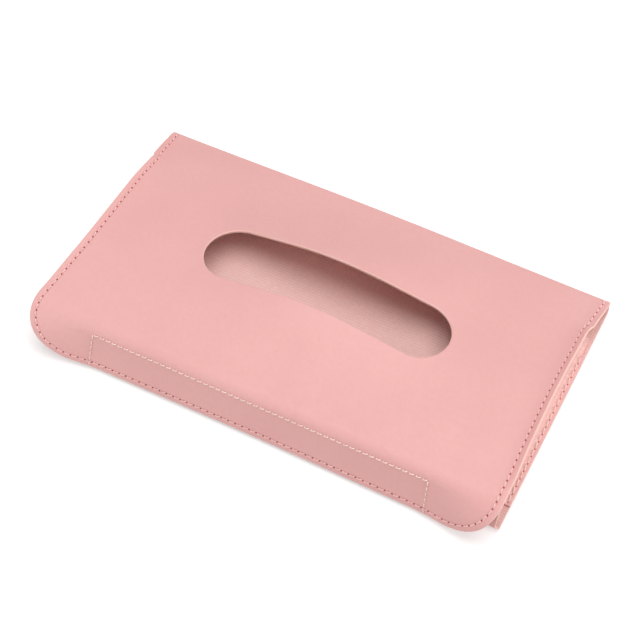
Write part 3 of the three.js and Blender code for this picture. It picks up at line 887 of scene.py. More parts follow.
def flap_shell(shape, pattern, outer_depth, inner_depth):
    """Points and faces of a flap pattern's closed sheet between two depths, and the pattern's
    point that each comes from. Its edges have a row of points halfway."""
    outer = shape.flap_inside(pattern.station, pattern.x, outer_depth)
    inner = shape.flap_inside(pattern.station, pattern.x, inner_depth)
    count = len(outer)
    verts = [outer, inner]
    faces = pattern.faces + [[count + i for i in face[::-1]] for face in pattern.faces]
    sources = [np.arange(count), np.arange(count)]
    start = 2 * count
    for loop in pattern.loops:
        verts.append((outer[loop] + inner[loop]) / 2)
        sources.append(loop)
        middle = start + np.arange(len(loop))
        faces += ribbon(middle, loop, closed=True)
        faces += ribbon(loop + count, middle, closed=True)
        start += len(loop)
    return (np.concatenate(verts), faces), np.concatenate(sources)


def wall_seam(shape):
    """Stations and x of the hook tape's seam on the wall: right side, top and left side, each
    a list of hole points."""
    c = shape.closure
    top = c.hook_from_foot + c.hook_width - c.tape_seam
    side = even(0.5, top, shape.seams.tape_pitch)
    x = c.tape_length / 2 - c.tape_seam - c.seam_lean * side / top
    across = even(x[-1], -x[-1], shape.seams.tape_pitch)
    return [(side, x), (np.full(len(across), top), across), (side[::-1], -x[::-1])]


def hole_weight(shape, along, across):
    """One in the middle of a needle hole, falling to zero round it."""
    s = shape.seams
    away = np.hypot(2 * along / s.hole_length, 2 * across / s.hole_width)
    return np.clip(1.5 - away, 0, 1)


ROW_STEPS = 8  # points from hole to hole along the hook tape's seam
ROW_OFFSETS = (-0.32, 0.0, 0.32)  # of the rows of points along that seam
ROW_SQUEEZE = 1.4  # how much smaller its holes are than those of the other seams


def seam_rows(shape, first_inset):
    """Fine rows of points along the hook tape's seam, and the weight of its holes in each. The
    points near its two upper corners are left out of the level row."""
    rows, holes = [], []
    for station, x in wall_seam(shape):
        keep = station > first_inset + RING_ROOM
        if keep.sum() < 2:
            continue
        station, x = divided(station[keep], ROW_STEPS), divided(x[keep], ROW_STEPS)
        number = np.arange(len(x))
        level = np.ptp(station) < 1e-6
        if level:
            station, x, number = station[3:-3], x[3:-3], number[3:-3]
        along = from_hole(number, ROW_STEPS, shape.seams.tape_pitch) * ROW_SQUEEZE
        strength = 0.3 if level else 0.55
        for offset in ROW_OFFSETS:
            rows.append((station + offset, x) if level else (station, x + offset))
            holes.append(strength * hole_weight(shape, along, offset * ROW_SQUEEZE))
    return rows, holes


# How the flap's leather lies beside its edge with the seam, and beside the mouth: distances in
# from the edge, and how high its face is there.
EDGE_INSETS = [0, 0.2, 0.45, 1.0, 1.7, 2.2, 2.58, 2.82, 3.05, 3.28, 3.52, 4.0, 5.0, 6.4, 8.2]
EDGE_RISE = [
    -0.22, -0.05, 0.03, 0.08, 0.08, 0.02, -0.03, -0.09, -0.14, -0.09, -0.03, 0.02, 0.03, 0, 0
]
MOUTH_MARGINS = [0, 0.18, 0.45, 1.0, 1.7, 2.7, 4.0, 6.0]
MOUTH_RISE = [-0.2, -0.05, 0.03, 0.05, 0.03, 0, 0, 0]
HOLE_STEPS = 10  # points from hole to hole along a seam
GRID_HALF = 111  # half the length of a flap sheet's grid
CLOTH_GAP = 0.03  # between the leather and the lining at the edges


def make_flap_leather(shape):
    """The flap and the spine fold in one leather."""
    s = shape.seams
    end = shape.end_station
    seam = shape.seam_runs(HOLE_STEPS)
    before = even(0, seam[0], 0.5)[:-1]
    after = (shape.edge_lengths(end)[2] - before)[::-1]
    runs = np.concatenate([before, seam, after])
    wall = even(10.5, shape.wall_length - 0.5, 2.0)
    bend = even(shape.wall_length, shape.crest_station + 1, 0.8)
    top = even(shape.crest_station + 3, shape.spine_station - 1.5, 2.6)
    spine = even(shape.spine_station - 0.5, end, 0.45)
    grid = (np.concatenate([wall, bend, top, spine]), even(-GRID_HALF, GRID_HALF, 3.0))
    rows, row_holes = seam_rows(shape, EDGE_INSETS[-1])
    pattern = flap_pattern(shape, end, runs, EDGE_INSETS, 380, MOUTH_MARGINS, grid, rows)
    rise = np.interp(pattern.inset, EDGE_INSETS, EDGE_RISE)
    rise = rise + np.interp(pattern.margin, MOUTH_MARGINS, MOUTH_RISE)
    hole = np.zeros(len(rise))
    along = from_hole(np.arange(len(seam)), HOLE_STEPS, s.pitch)
    for ring, inset in zip(pattern.rings, EDGE_INSETS):
        hole[ring[len(before) :][: len(seam)]] = hole_weight(shape, along, inset - s.inset)
    for ring, weights in zip(pattern.rings[-len(rows) :], row_holes):
        hole[ring] = weights
        rise[ring] -= s.groove * (0.8 if weights.max() > 0.25 else 0.35)
    rise = rise - hole**2 * s.hole
    solid, sources = flap_shell(shape, pattern, -rise, shape.pouch.leather)
    near = np.minimum(pattern.inset, np.maximum(pattern.margin, 0))
    edge = np.interp(near, [0, 0.2, 0.45], [1, 0.45, 0])
    count = len(rise)
    halfway = np.ones(len(sources) - 2 * count)
    values = {
        "cut_edge": np.concatenate([edge, near < 0.1, halfway]),
        "hole": np.concatenate([hole, np.zeros(len(sources) - count)]),
    }
    made = mesh_piece(shape, "flap_leather", solid, "leather", values)
    start = shape.placed([[shape.half, shape.spine[1], 0]])[0]
    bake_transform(made)
    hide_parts("front_cover")


def make_flap_lining(shape):
    end = shape.spine_station - 3
    runs = even(0, shape.edge_lengths(end)[2], 1.2)
    insets = [0.8, 1.1, 1.6, 2.4, 3.4, 4.6, 6.0, 8.0]
    margins = [0.2, 0.5, 1.0, 1.6, 2.4, 3.6]
    grid = (even(10, end, 2.2), even(-GRID_HALF, GRID_HALF, 3.0))
    pattern = flap_pattern(shape, end, runs, insets, 240, margins, grid)
    top = shape.lining_top(pattern.inset, np.maximum(0, pattern.margin)) + CLOTH_GAP
    solid, sources = flap_shell(shape, pattern, top, top + shape.pouch.lining)
    weave = np.stack([pattern.x, pattern.station], 1)[sources]
    made = mesh_piece(shape, "flap_lining", solid, "lining", weave=weave)
    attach(made, "flap")
    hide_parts("front_lining")


def make_flap_board(shape):
    p = shape.pouch
    end = shape.spine_station - p.board_inset
    runs = even(0, shape.edge_lengths(end)[2], 2.0)
    insets, margins = (
        [first, first + 1, first + 3] for first in (p.board_inset, shape.mouth.board_margin)
    )
    grid = (even(11, end, 3), even(-108, 108, 4))
    pattern = flap_pattern(shape, end, runs, insets, 200, margins, grid)
    top = p.leather + p.gap
    solid, _ = flap_shell(shape, pattern, top, top + p.board)
    made = mesh_piece(shape, "flap_board", solid, "stiffener")
    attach(made, "flap")
    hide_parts("front_stiffener")


def panel_rise(inset):
    """How the leather's face lies near a plain edge: rounded over at the very edge."""
    return np.interp(inset, [0, 0.2, 0.5, 1.2, 2.4], [-0.2, -0.04, 0.02, 0.03, 0])


def leather_values(inset, hole):
    """Point values of a leather sheet: its cut edges, and the needle holes in its outer face."""
    edge = np.interp(inset, [0, 0.2, 0.5], [1, 0.62, 0]).ravel()
    hole = hole.ravel()
    return {"cut_edge": np.tile(edge, 2), "hole": np.concatenate([hole, 0 * hole])}


def side_columns(half, seam):
    """Distances of a panel's columns from its middle, close together at the edge and seam."""
    edge = half - np.array([0, 0.2, 0.5, 1.0])
    beside = half - seam + np.array([0.65, 0.33, 0, -0.33, -0.65])
    inner = half - np.array([3.6, 5.2, 7, 9])
    side = np.concatenate([edge, beside, inner, even(half - 12, 0, 4)[:-1]])
    return np.concatenate([-side, [0], side[::-1]])


def gusset_seam_holes(shape):
    """Y of the needle holes of a gusset's lower seam."""
    g = shape.gusset
    return even(g.front + 1.5, g.back - 2, shape.seams.gusset_pitch)


def seam_and_ends(seam, low, high, step):
    """A seam's fine numbers, with steps before them from low and after them to high."""
    return np.concatenate([even(low, seam[0] - 0.5, step), seam, even(seam[-1] + 0.5, high, step)])


def make_back_leather(shape):
    """The back panel's leather, with the gusset seams showing on its underside."""
    s = shape.seams
    holes = gusset_seam_holes(shape)
    seam_y = divided(holes, HOLE_STEPS)
    y = seam_and_ends(seam_y, shape.lip_fold[1], shape.spine[1], 0.9)[:, None]
    share = side_columns(shape.half, shape.gusset.seam_inset) / shape.half
    half = shape.back_half(y)
    x = share * half
    inset = half - np.abs(x)
    across = np.abs(np.abs(share) * shape.half - (shape.half - shape.gusset.seam_inset))
    in_seam = (y >= holes[0] - 0.01) & (y <= holes[-1] + 0.01)
    groove = s.groove * falling(across, 0, 0.9) * in_seam
    along = np.abs(y - holes).min(1)[:, None]
    hole = hole_weight(shape, along, across)
    rise = panel_rise(inset) - groove - hole**2 * s.hole
    solid = closed_grid(points(x, y, -rise), points(x, y, shape.pouch.leather))
    made = mesh_piece(shape, "back_leather", solid, "leather", leather_values(inset, hole))
    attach(made, "root")
    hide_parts("back_cover")


def make_back_lining(shape):
    """The lining that shows in the mouth, with its ribs along the pouch."""
    rib_rise, rib_pitch = 0.04, 1.4
    front = shape.lip_fold[1]
    y = even(front, shape.spine[1], 0.2)[:, None]
    side = np.array([0, 0.3, 0.8, 1.5, 2.3, 3.2, 4.2, 5.2, 6.2, 8.0])
    columns = np.concatenate([side, even(11, shape.half, 5)])
    half = shape.back_half(y) - 0.05
    x = mirrored(columns, shape.half) * half
    inset = np.minimum(half - np.abs(x), y - front + 1)
    top = shape.lining_top(inset) + CLOTH_GAP
    ribs = rib_rise * np.sin(y * 2 * np.pi / rib_pitch + 0.4 * np.sin(y * 0.37))
    ribs = ribs * rising(inset, 0, 2) * (1 + 0.3 * np.sin(x * 0.9 + y * 2.1))
    outer = points(x, y, top + shape.pouch.lining + ribs)
    solid = closed_grid(outer, points(x, y, top))
    made = mesh_piece(shape, "back_lining_cloth", solid, "lining", weave=flat_map(x, y))
    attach(made, "root")
    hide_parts("back_lining")


def make_back_board(shape):
    p = shape.pouch
    y = even(p.board_inset, shape.spine[1] - p.board_inset, 2)[:, None]
    x = even(-1, 1, 0.04) * (shape.half - p.board_inset)
    bottom = p.leather + p.gap
    solid = closed_grid(points(x, y, bottom + p.board), points(x, y, bottom))
    made = mesh_piece(shape, "back_board", solid, "stiffener")
    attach(made, "root")
    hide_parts("back_stiffener")


def lip_grid(shape, top, thickness, trim=0.0, round_edge=False):
    """Points and faces of a sheet of the lip, each grid point's distance from its edge, and
    its flat map."""
    c = shape.closure
    start = -(math.pi - shape.pouch.wall_angle) * c.fold_radius
    rim = c.lip_height - np.array([2.4, 1.2, 0.5, 0.2, 0])
    runs = np.concatenate([even(start, 0, 0.3)[:-1], even(0, c.lip_height - 3, 0.8), rim])
    columns = np.concatenate([[0, 0.2, 0.5, 1.2, 2.4, 4], even(8, shape.half, 6)])
    half = shape.lip_half(runs)[:, None] - trim
    x = mirrored(columns, shape.half) * half
    run = np.broadcast_to(runs[:, None], x.shape)
    inset = np.minimum(half - np.abs(x), runs[-1] - run)
    outer = shape.lip_point(run, x, top - (panel_rise(inset) if round_edge else 0 * inset))
    inner = shape.lip_point(run, x, np.full(x.shape, top + thickness))
    return closed_grid(outer, inner), inset, flat_map(x, run)


def lip_blend(shape, made):
    """Bakes a sheet of the lip's transform into its points."""
    start = shape.placed([[shape.half, shape.lip_fold[1], 0]])[0]
    end = shape.placed([shape.lip_point(np.array([0.0]), shape.half, np.array([0.0]))[0]])[0]
    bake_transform(made)


def make_lip(shape):
    """The lip's leather and lining, from the front edge of the back panel upwards."""
    p = shape.pouch
    solid, inset, _ = lip_grid(shape, 0, p.leather, round_edge=True)
    leather = mesh_piece(shape, "lip_leather", solid, "leather", leather_values(inset, 0 * inset))
    lip_blend(shape, leather)
    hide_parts("lip_cover")
    solid, _, weave = lip_grid(shape, p.edge_depth + CLOTH_GAP, p.lining, trim=0.05)
    lining = mesh_piece(shape, "lip_lining_cloth", solid, "lining", weave=weave)
    lip_blend(shape, lining)
    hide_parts("lip_lining")


THREAD_SIZES = (
    "Length", "Width", "Rise", "Sink", "End Height", "Flatness", "Slant", "Spread", "Twist"
)


def thread_tree():
    """Short lengths of thread, each bent in an arch and set on a point of the mesh."""
    name = "Threads on points"
    if name in bpy.data.node_groups:
        return bpy.data.node_groups[name]
    tree = bpy.data.node_groups.new(name, "GeometryNodeTree")
    kinds = {"Geometry": "Geometry", **dict.fromkeys(THREAD_SIZES, "Float")}
    kinds.update(Seed="Int", Material="Material")
    for label, kind in kinds.items():
        tree.interface.new_socket(label, in_out="INPUT", socket_type=f"NodeSocket{kind}")
    tree.interface.new_socket("Geometry", in_out="OUTPUT", socket_type="NodeSocketGeometry")
    t = Nodes(tree)
    given = t.node("NodeGroupInput").outputs

    def vector(x, z):
        return t.node("ShaderNodeCombineXYZ", {0: x, 2: z}).outputs[0]

    fullness = 1.34  # how far a curve's handles stand out over its own height
    half = t.work("MULTIPLY", given["Length"], 0.5)
    low = t.work("MULTIPLY", given["Sink"], -1.0)
    reach = t.work("MULTIPLY", half, given["Flatness"])
    high = t.work("MULTIPLY", t.work("ADD", given["Rise"], given["Sink"]), fullness)
    top = t.work("ADD", high, low)
    ends = {
        "Resolution": 7,
        "Start": vector(t.work("MULTIPLY", half, -1.0), low),
        "Start Handle": vector(t.work("MULTIPLY", reach, -1.0), top),
        "End Handle": vector(reach, top),
        "End": vector(half, t.work("ADD", low, given["End Height"])),
    }
    arch = t.node("GeometryNodeCurvePrimitiveBezierSegment", ends)
    factor = t.node("GeometryNodeSplineParameter").outputs["Factor"]
    tilt = t.work("MULTIPLY", factor, given["Twist"])
    turned = t.node("GeometryNodeSetCurveTilt", {"Curve": arch.outputs[0], "Tilt": tilt})
    radius = t.work("MULTIPLY", given["Width"], 0.5)
    circle = t.node("GeometryNodeCurvePrimitiveCircle", {"Resolution": 8, "Radius": radius})
    squashed = {"Geometry": circle.outputs[0], "Scale": (1.0, 0.74, 1.0)}
    oval = t.node("GeometryNodeTransform", squashed)
    swept = {"Curve": turned.outputs[0], "Profile Curve": oval.outputs[0], "Fill Caps": True}
    thread = t.node("GeometryNodeCurveToMesh", swept)
    soft = t.node("GeometryNodeSetShadeSmooth", {"Geometry": thread.outputs[0]})
    out, way = (
        t.node("GeometryNodeInputNamedAttribute", {"Name": name}, data_type="FLOAT_VECTOR")
        for name in ("out", "way")
    )
    facing = t.node(
        "FunctionNodeAxesToRotation",
        {0: out.outputs[0], 1: way.outputs[0]},
        primary_axis="Z",
        secondary_axis="X",
    )
    chance = t.node("FunctionNodeRandomValue", {"Seed": given["Seed"]}, data_type="FLOAT")
    limits = [socket for socket in chance.inputs if socket.type == "VALUE"]
    limits[0].default_value, limits[1].default_value = -1.0, 1.0
    value = next(socket for socket in chance.outputs if socket.type == "VALUE")
    slant = t.work("ADD", given["Slant"], t.work("MULTIPLY", value, given["Spread"]))
    spin = t.node("FunctionNodeEulerToRotation", {0: vector(0.0, slant)})
    laid = t.node(
        "FunctionNodeRotateRotation",
        {0: facing.outputs[0], 1: spin.outputs[0]},
        rotation_space="LOCAL",
    )
    copies = {"Points": given["Geometry"], "Instance": soft.outputs[0]}
    placed = t.node("GeometryNodeInstanceOnPoints", {**copies, "Rotation": laid.outputs[0]})
    real = t.node("GeometryNodeRealizeInstances", {"Geometry": placed.outputs[0]})
    finished = {"Geometry": real.outputs[0], "Material": given["Material"]}
    coloured = t.node("GeometryNodeSetMaterial", finished)
    t.node("NodeGroupOutput", {"Geometry": coloured.outputs[0]})
    return tree


def threads(shape, name, places, out, way, slot, body, nodes, **sizes):
    """One piece of short threads, one on each place, made by the node tree. Places and sizes
    are in metres. The body is a name, or a function that is called with the piece."""
    mesh = bpy.data.meshes.new(name)
    mesh.from_pydata(np.asarray(places).tolist(), [], [])
    for key, vectors in (("out", out), ("way", way)):
        layer = mesh.attributes.new(key, "FLOAT_VECTOR", "POINT")
        layer.data.foreach_set("vector", np.asarray(vectors, np.float32).ravel())
    made = add_object(name, mesh)
    tree = thread_tree()
    modifier = made.modifiers.new("Threads", "NODES")
    modifier.node_group = tree
    sizes["material"] = finish_for(slot, shape.colours)
    for socket in tree.interface.items_tree:
        if socket.in_out == "INPUT" and socket.name != "Geometry":
            modifier[socket.identifier] = sizes[socket.name.lower().replace(" ", "_")]
    evaluated = made.evaluated_get(bpy.context.evaluated_depsgraph_get())
    result = bpy.data.meshes.new_from_object(evaluated)
    made.modifiers.remove(modifier)
    made.data = result
    result.name = name
    if isinstance(body, str):
        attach(made, body)
    else:
        body(made)
    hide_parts(*nodes)


def stitch_places(holes):
    """Middles and directions of the stitches between a seam's hole points."""
    return (holes[:-1] + holes[1:]) / 2, unit(np.diff(holes, axis=0))


def stitch_sizes(shape, pitch, width=None):
    """Inputs of the node tree for a seam's stitches, which are a little shorter than the
    leather between two holes."""
    s = shape.seams
    return {
        "length": (pitch - 1.05 * s.hole_length) * MM,
        "width": (width or s.thread) * MM,
        "rise": s.rise * MM,
        "sink": 0.3 * MM,
        "end_height": 0.0,
        "flatness": 0.93,
        "slant": s.slant,
        "spread": math.radians(2),
        "twist": 5.0,
        "seed": s.seed,
    }


def make_perimeter_seam(shape):
    s = shape.seams
    station, x = shape.edge(shape.seam_runs(2), s.inset, shape.end_station)
    at = shape.placed(shape.flap_inside(station, x, s.groove))
    out = shape.flap_normal(station, x)[1::2]
    way = unit(at[2::2] - at[:-2:2])
    pitch = np.linalg.norm(np.diff(at[::2], axis=0), axis=1).mean() / MM

    def with_fold(made):
        start = shape.placed([[shape.half, shape.spine[1], 0]])[0]
        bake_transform(made)

    threads(
        shape, "perimeter_stitches", at[1::2], out, way, "pink_thread", with_fold,
        ["perimeter_thread"], **stitch_sizes(shape, pitch),
    )


def make_hook_tape_seam(shape):
    sides = []
    for station, x in wall_seam(shape):
        holes = shape.placed(shape.flap_inside(station, x, 0.05))
        sides.append((*stitch_places(holes), shape.flap_normal(station, x)[1:]))
    places, way, out = (np.concatenate(part) for part in zip(*sides))
    threads(
        shape, "hook_tape_stitches", places, out, way, "cream_thread", "flap",
        ["hook_tape_thread"], **stitch_sizes(shape, shape.seams.tape_pitch),
    )


def make_gusset_seams(shape):
    """The seams of the gussets' lower leaves, which show on top and underneath."""
    s, inset = shape.seams, shape.gusset.seam_inset
    y = gusset_seam_holes(shape)
    top = lap_height(shape, inset) + shape.gusset.thickness - 0.02
    for side, name in SIDES:
        x = side * (shape.back_half(y) - inset)
        upper, upper_way = stitch_places(shape.placed(points(x, y, top)))
        under, under_way = stitch_places(shape.placed(points(x, y, 0.1)))
        up = np.tile([0.0, 0.0, 1.0], (len(upper), 1))
        threads(
            shape, f"{name}_gusset_stitches", np.concatenate([upper, under]),
            np.concatenate([up, -up]), np.concatenate([upper_way, under_way]),
            "gusset_thread", "root", [f"{name}_gusset_thread"],
            **stitch_sizes(shape, s.gusset_pitch, s.gusset_thread),
        )


def ring_holes(width, height, pitch):
    """Hole points round a rectangle, centred on the origin, as a closed list."""
    across, up = even(-width / 2, width / 2, pitch), even(-height / 2, height / 2, pitch)
    bottom = [(a, -height / 2) for a in across]
    right = [(width / 2, b) for b in up[1:]]
    top = [(a, height / 2) for a in across[::-1][1:]]
    left = [(-width / 2, b) for b in up[::-1][1:]]
    return np.array(bottom + right + top + left)


def make_band_seams(shape):
    """A box of stitches at each end of each band."""
    b, s = shape.bands, shape.seams
    flat = ring_holes(b.width - 2 * b.seam_inset, b.sewn_length - 2 * b.seam_inset, s.band_pitch)
    pitch = flat[1, 0] - flat[0, 0]
    level = -shape.pouch.gap - b.sewn + 0.05
    from_end = b.end_inset + b.sewn_length / 2
    for side, name in SIDES:
        for end, y in (("front", from_end), ("spine", shape.spine[1] - from_end)):
            holes = points(side * b.from_middle + flat[:, 0], y + flat[:, 1], level)
            middle, way = stitch_places(shape.placed(holes))
            out = np.tile([0.0, 0.0, -1.0], (len(middle), 1))
            threads(
                shape, f"{name}_band_{end}_stitches", middle, out, way, "pink_thread", "root",
                [f"{name}_band_{end}_thread"], **stitch_sizes(shape, pitch),
            )


def make_loop_tape_seam(shape):
    c, pitch = shape.closure, shape.seams.tape_pitch
    flat = ring_holes(c.tape_length - 2 * c.tape_seam, c.loop_width - 2 * c.tape_seam, pitch)
    run = c.loop_from_fold + c.loop_width / 2 + flat[:, 1]
    depth = shape.pouch.edge_depth + shape.pouch.lining
    holes = shape.placed(shape.lip_point(run, flat[:, 0], depth))
    middle, way = stitch_places(holes)
    out = np.tile(-shape.wall_out, (len(middle), 1))
    threads(
        shape, "loop_tape_stitches", middle, out, way, "cream_thread", "lip",
        ["loop_tape_thread"], **stitch_sizes(shape, pitch),
    )


def rounded(line):
    """A line of points with its corners cut smooth; its two ends stay."""
    for _ in range(3):
        a, b = line[:-1], line[1:]
        cut = np.stack([a * 0.75 + b * 0.25, a * 0.25 + b * 0.75], 1)
        cut = cut.reshape(-1, *line.shape[1:])
        line = np.concatenate([line[:1], cut[1:-1], line[-1:]])
    return line


SIDES = ((-1, "left"), (1, "right"))
GUSSET_STEPS = 8  # points from hole to hole along a gusset's seam


def lap_height(shape, inset):
    """Height of a gusset's lap, at a distance in from the panel's edge."""
    return shape.lining_top(inset) + shape.pouch.lining + shape.gusset.clearance


def gusset_faces(shape, side):
    """The two faces of a gusset as grids of points, and how much of a needle hole each point
    is. The rows go from the lower leaf's edge over the fold to the upper leaf's edge."""
    g = shape.gusset
    holes = gusset_seam_holes(shape)
    end = shape.gusset_end
    y = seam_and_ends(divided(holes, GUSSET_STEPS), g.front, end, 0.5)
    station = shape.station_at(y)
    edge = shape.half_width(station)
    along = np.abs(y[:, None] - holes).min(1)
    seam_at = g.seam_inset + np.array([-0.5, -0.23, 0, 0.23, 0.5])
    insets = np.concatenate([[0, 0.3, 0.7], seam_at, [2.7, 3.4, 4.2, 5, g.lap]])
    low, high, weights = [], [], []
    step_y = g.back - 5
    for inset in insets:
        height = lap_height(shape, inset)
        back = end - g.step * falling(inset, 0.5, 2.1)
        short = step_y + (y - step_y) * (back - step_y) / (end - step_y)
        short = np.where(y > step_y, short, y)
        low.append(points(shape.back_half(short) - inset, short, height))
        inner = g.tuck + inset * (1 - g.tuck / g.lap)
        found = shape.flap_inside(station, side * (edge - inner), height)
        high.append(found * np.array([side, 1, 1]))
        weights.append(hole_weight(shape, along, inset - g.seam_inset))
    fold = (low[-1] + high[-1]) / 2
    fold[:, 0] = shape.half - g.fold - (g.fold_back - g.fold) * (y - g.front) / (end - g.front)
    share = np.array([0.45, 0.45, 0.28])
    bends = [lap[-1] * (1 - share) + fold * share for lap in (low, high)]
    middle = rounded(np.stack([low[-1], bends[0], fold, bends[1], high[-1]]))
    face = np.concatenate([np.stack(low[:-1]), middle, np.stack(high[:-1])[::-1]])
    way = np.gradient(face, axis=0)
    way[..., 1] = 0
    inward = unit(np.cross(way, np.array([0.0, 1.0, 0.0])))
    hole = np.zeros(face.shape[:2])
    hole[: len(insets)] = weights
    back = face - inward * (g.thickness - hole**2 * shape.seams.hole)[..., None]
    face[..., 0] *= side
    back[..., 0] *= side
    return face, back, hole


def make_gussets(shape):
    """The V-folded leather at each side."""
    end_shade = 0.4
    for side, name in SIDES:
        face, back, hole = gusset_faces(shape, side)
        row, column = np.indices(hole.shape)
        # Painted shade on the gussets' cut front and back ends, laid on through the hole colour.
        ends = end_shade * ((column == 0) | (column == column.max()))
        upper = np.maximum(ends, 0.7 * hole)
        values = {
            # Pale grain, partly a painted highlight, is stronger inward of the seam where the leaf
            # rises than on the outer strip.
            "grain": np.tile(np.interp(row, [5, 8], [0.4, 1]).ravel(), 2),
            "cut_edge": np.tile(np.where(row == 0, 0.5, 0.0).ravel(), 2),
            "hole": np.concatenate([ends.ravel(), upper.ravel()]),
        }
        solid = closed_grid(face, back)
        made = mesh_piece(shape, f"{name}_gusset_leather", solid, "gusset_leather", values)
        start = shape.placed([[shape.half, 13, 8.3]])[0]
        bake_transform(made)
        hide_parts(f"{name}_gusset")


def tape_ground(shape, name, at, depths, heights):
    """A tape's woven ground, with a thin selvedge at its edges. What is given as at finds
    points from the height, x and depth in the leather that carries the tape."""
    length = shape.closure.tape_length
    (inner, outer), (low, high) = depths, heights
    share_x = np.concatenate([[-1, -0.998, -0.994], even(-0.98, 0.98, 0.04), [0.994, 0.998, 1]])
    share_y = np.array([0, 0.02, 0.06, 0.12, 0.3, 0.5, 0.7, 0.88, 0.94, 0.98, 1])
    x, up = np.meshgrid(share_x * length / 2, low + share_y * (high - low))
    near = np.minimum(length / 2 - np.abs(x), np.minimum(up - low, high - up))
    thin = 0.14 * falling(near, 0, 1.2) * np.sign(outer - inner)
    solid = closed_grid(at(up, x, outer - thin), at(up, x, inner + thin))
    return mesh_piece(shape, name, solid, "tape", weave=flat_map(x, up))


def pile_points(length, low, high, step, jitter, seed):
    """X and height of tape hooks or loops in rows, moved about by up to a jitter."""
    x, up = np.meshgrid(even(-length / 2 + 1.2, length / 2 - 1.2, step), even(low, high, step))
    random = np.random.default_rng(seed)
    x = x + random.uniform(-jitter, jitter, x.shape)
    up = up + random.uniform(-jitter, jitter, up.shape)
    return x.ravel(), up.ravel()


def make_hook_tape(shape):
    """The tape inside the flap's wall, with rows of hooks that face by turns."""
    c = shape.closure
    back = shape.panel + shape.pouch.gap
    face = back + c.tape_base
    low, high = c.hook_from_foot, c.hook_from_foot + c.hook_width
    made = tape_ground(shape, "hook_tape_ground", shape.flap_inside, (face, back), (low, high))
    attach(made, "flap")
    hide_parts("hook_tape")
    x, up = pile_points(c.tape_length, low + 1.4, high - 1.4, 1.5, 0.05, 3)
    places = shape.placed(shape.flap_inside(up, x, face))
    way = unit(shape.flap_point(up + 0.1, x) - shape.flap_point(up, x))
    way[1::2] *= -1
    threads(
        shape, "hook_tape_hooks", places, -shape.flap_normal(up, x), way, "tape", "flap",
        ["hook_tape"], length=0.7 * MM, width=0.24 * MM, rise=0.8 * MM, sink=0.08 * MM,
        end_height=0.5 * MM, flatness=1.5, slant=0.0, spread=0.1, twist=0.0, seed=3,
    )


def make_loop_tape(shape):
    """The tape on the lip, with a pile of loops that lie all ways."""
    c = shape.closure
    back = -shape.pouch.gap
    face = back - c.tape_base
    low, high = c.loop_from_fold, c.loop_from_fold + c.loop_width
    made = tape_ground(shape, "loop_tape_ground", shape.lip_point, (back, face), (low, high))
    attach(made, "lip")
    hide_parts("loop_tape")
    x, up = pile_points(c.tape_length, low + 1, high - 1, 1.25, 0.4, 5)
    places = shape.placed(shape.lip_point(up, x, face))
    out, way = (np.tile(vector, (len(x), 1)) for vector in (shape.wall_out, shape.wall_up))
    threads(
        shape, "loop_tape_pile", places, out, way, "tape", "lip",
        ["loop_tape"], length=1.1 * MM, width=0.2 * MM, rise=1.3 * MM, sink=0.08 * MM,
        end_height=0.0, flatness=1.7, slant=0.0, spread=3.1, twist=1.0, seed=5,
    )


def make_bands(shape):
    """The elastic bands under the back panel, ribbed lengthwise and thin where they are sewn."""
    b, p = shape.bands, shape.pouch
    cords = 10
    front, back = b.end_inset, shape.spine[1] - b.end_inset
    rim = np.array([0, 0.15, 0.4])
    y = np.concatenate([front + rim, even(front + 1, back - 1, 1.0), back - rim[::-1]])[:, None]
    u = np.linspace(0, 1, cords * 8 + 1)
    from_end = np.minimum(y - front, back - y)
    from_side = np.minimum(u, 1 - u) * b.width
    free = rising(from_end, b.sewn_length, b.sewn_length + b.ramp)
    thick = b.sewn + (b.thickness - b.sewn) * free
    rib = b.rib * np.abs(np.sin(u * np.pi * cords)) ** 0.7 * (0.45 + 0.55 * free)
    thin = 1 - 0.55 * falling(from_side, 0, 0.9) - 0.3 * falling(from_end, 0, 0.5)
    middle = -p.gap - thick / 2
    low = middle - (thick / 2 - b.rib + rib) * thin
    high = middle + (thick / 2 - 0.02) * thin
    for side, name in SIDES:
        x = side * b.from_middle + (u - 0.5) * b.width
        solid = closed_grid(points(x, y, low), points(x, y, high))
        made = mesh_piece(
            shape, f"{name}_elastic_band", solid, "elastic", weave=flat_map(x, y)
        )
        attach(made, "root")
        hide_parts(f"{name}_band")


def make_floor():
    """A pale floor that keeps the object's shadow, and is clear when seen from beneath."""
    reach = 4.0
    corners = [(-reach, -reach, 0), (reach, -reach, 0), (reach, reach, 0), (-reach, reach, 0)]
    floor = bpy.data.meshes.new("floor")
    floor.from_pydata(corners, [], [(0, 1, 2, 3)])
    paper = Finish("studio paper")
    speck = paper.noise(300, 2)
    shade = paper.mixed(speck, (0.9, 0.9, 0.9), (0.89, 0.89, 0.89))
    paper.done(shade, 0.9, paper.bump((speck, 0.00001)))
    paper.shader.inputs["Specular IOR Level"].default_value = 0.0
    strength = paper.work("MULTIPLY", paper.seen(), 0.42)
    glow = paper.node("ShaderNodeEmission", {"Strength": strength}).outputs[0]
    lit = paper.node("ShaderNodeAddShader", {0: paper.shader.outputs[0], 1: glow}).outputs[0]
    beneath = paper.node("ShaderNodeNewGeometry").outputs["Backfacing"]
    clear = paper.node("ShaderNodeBsdfTransparent").outputs[0]
    upper = paper.node("ShaderNodeMixShader", {0: beneath, 1: lit, 2: clear}).outputs[0]
    paper.give(paper.tree.nodes["Material Output"].inputs[0], upper)
    floor.materials.append(paper.material)
    add_object("floor", floor)


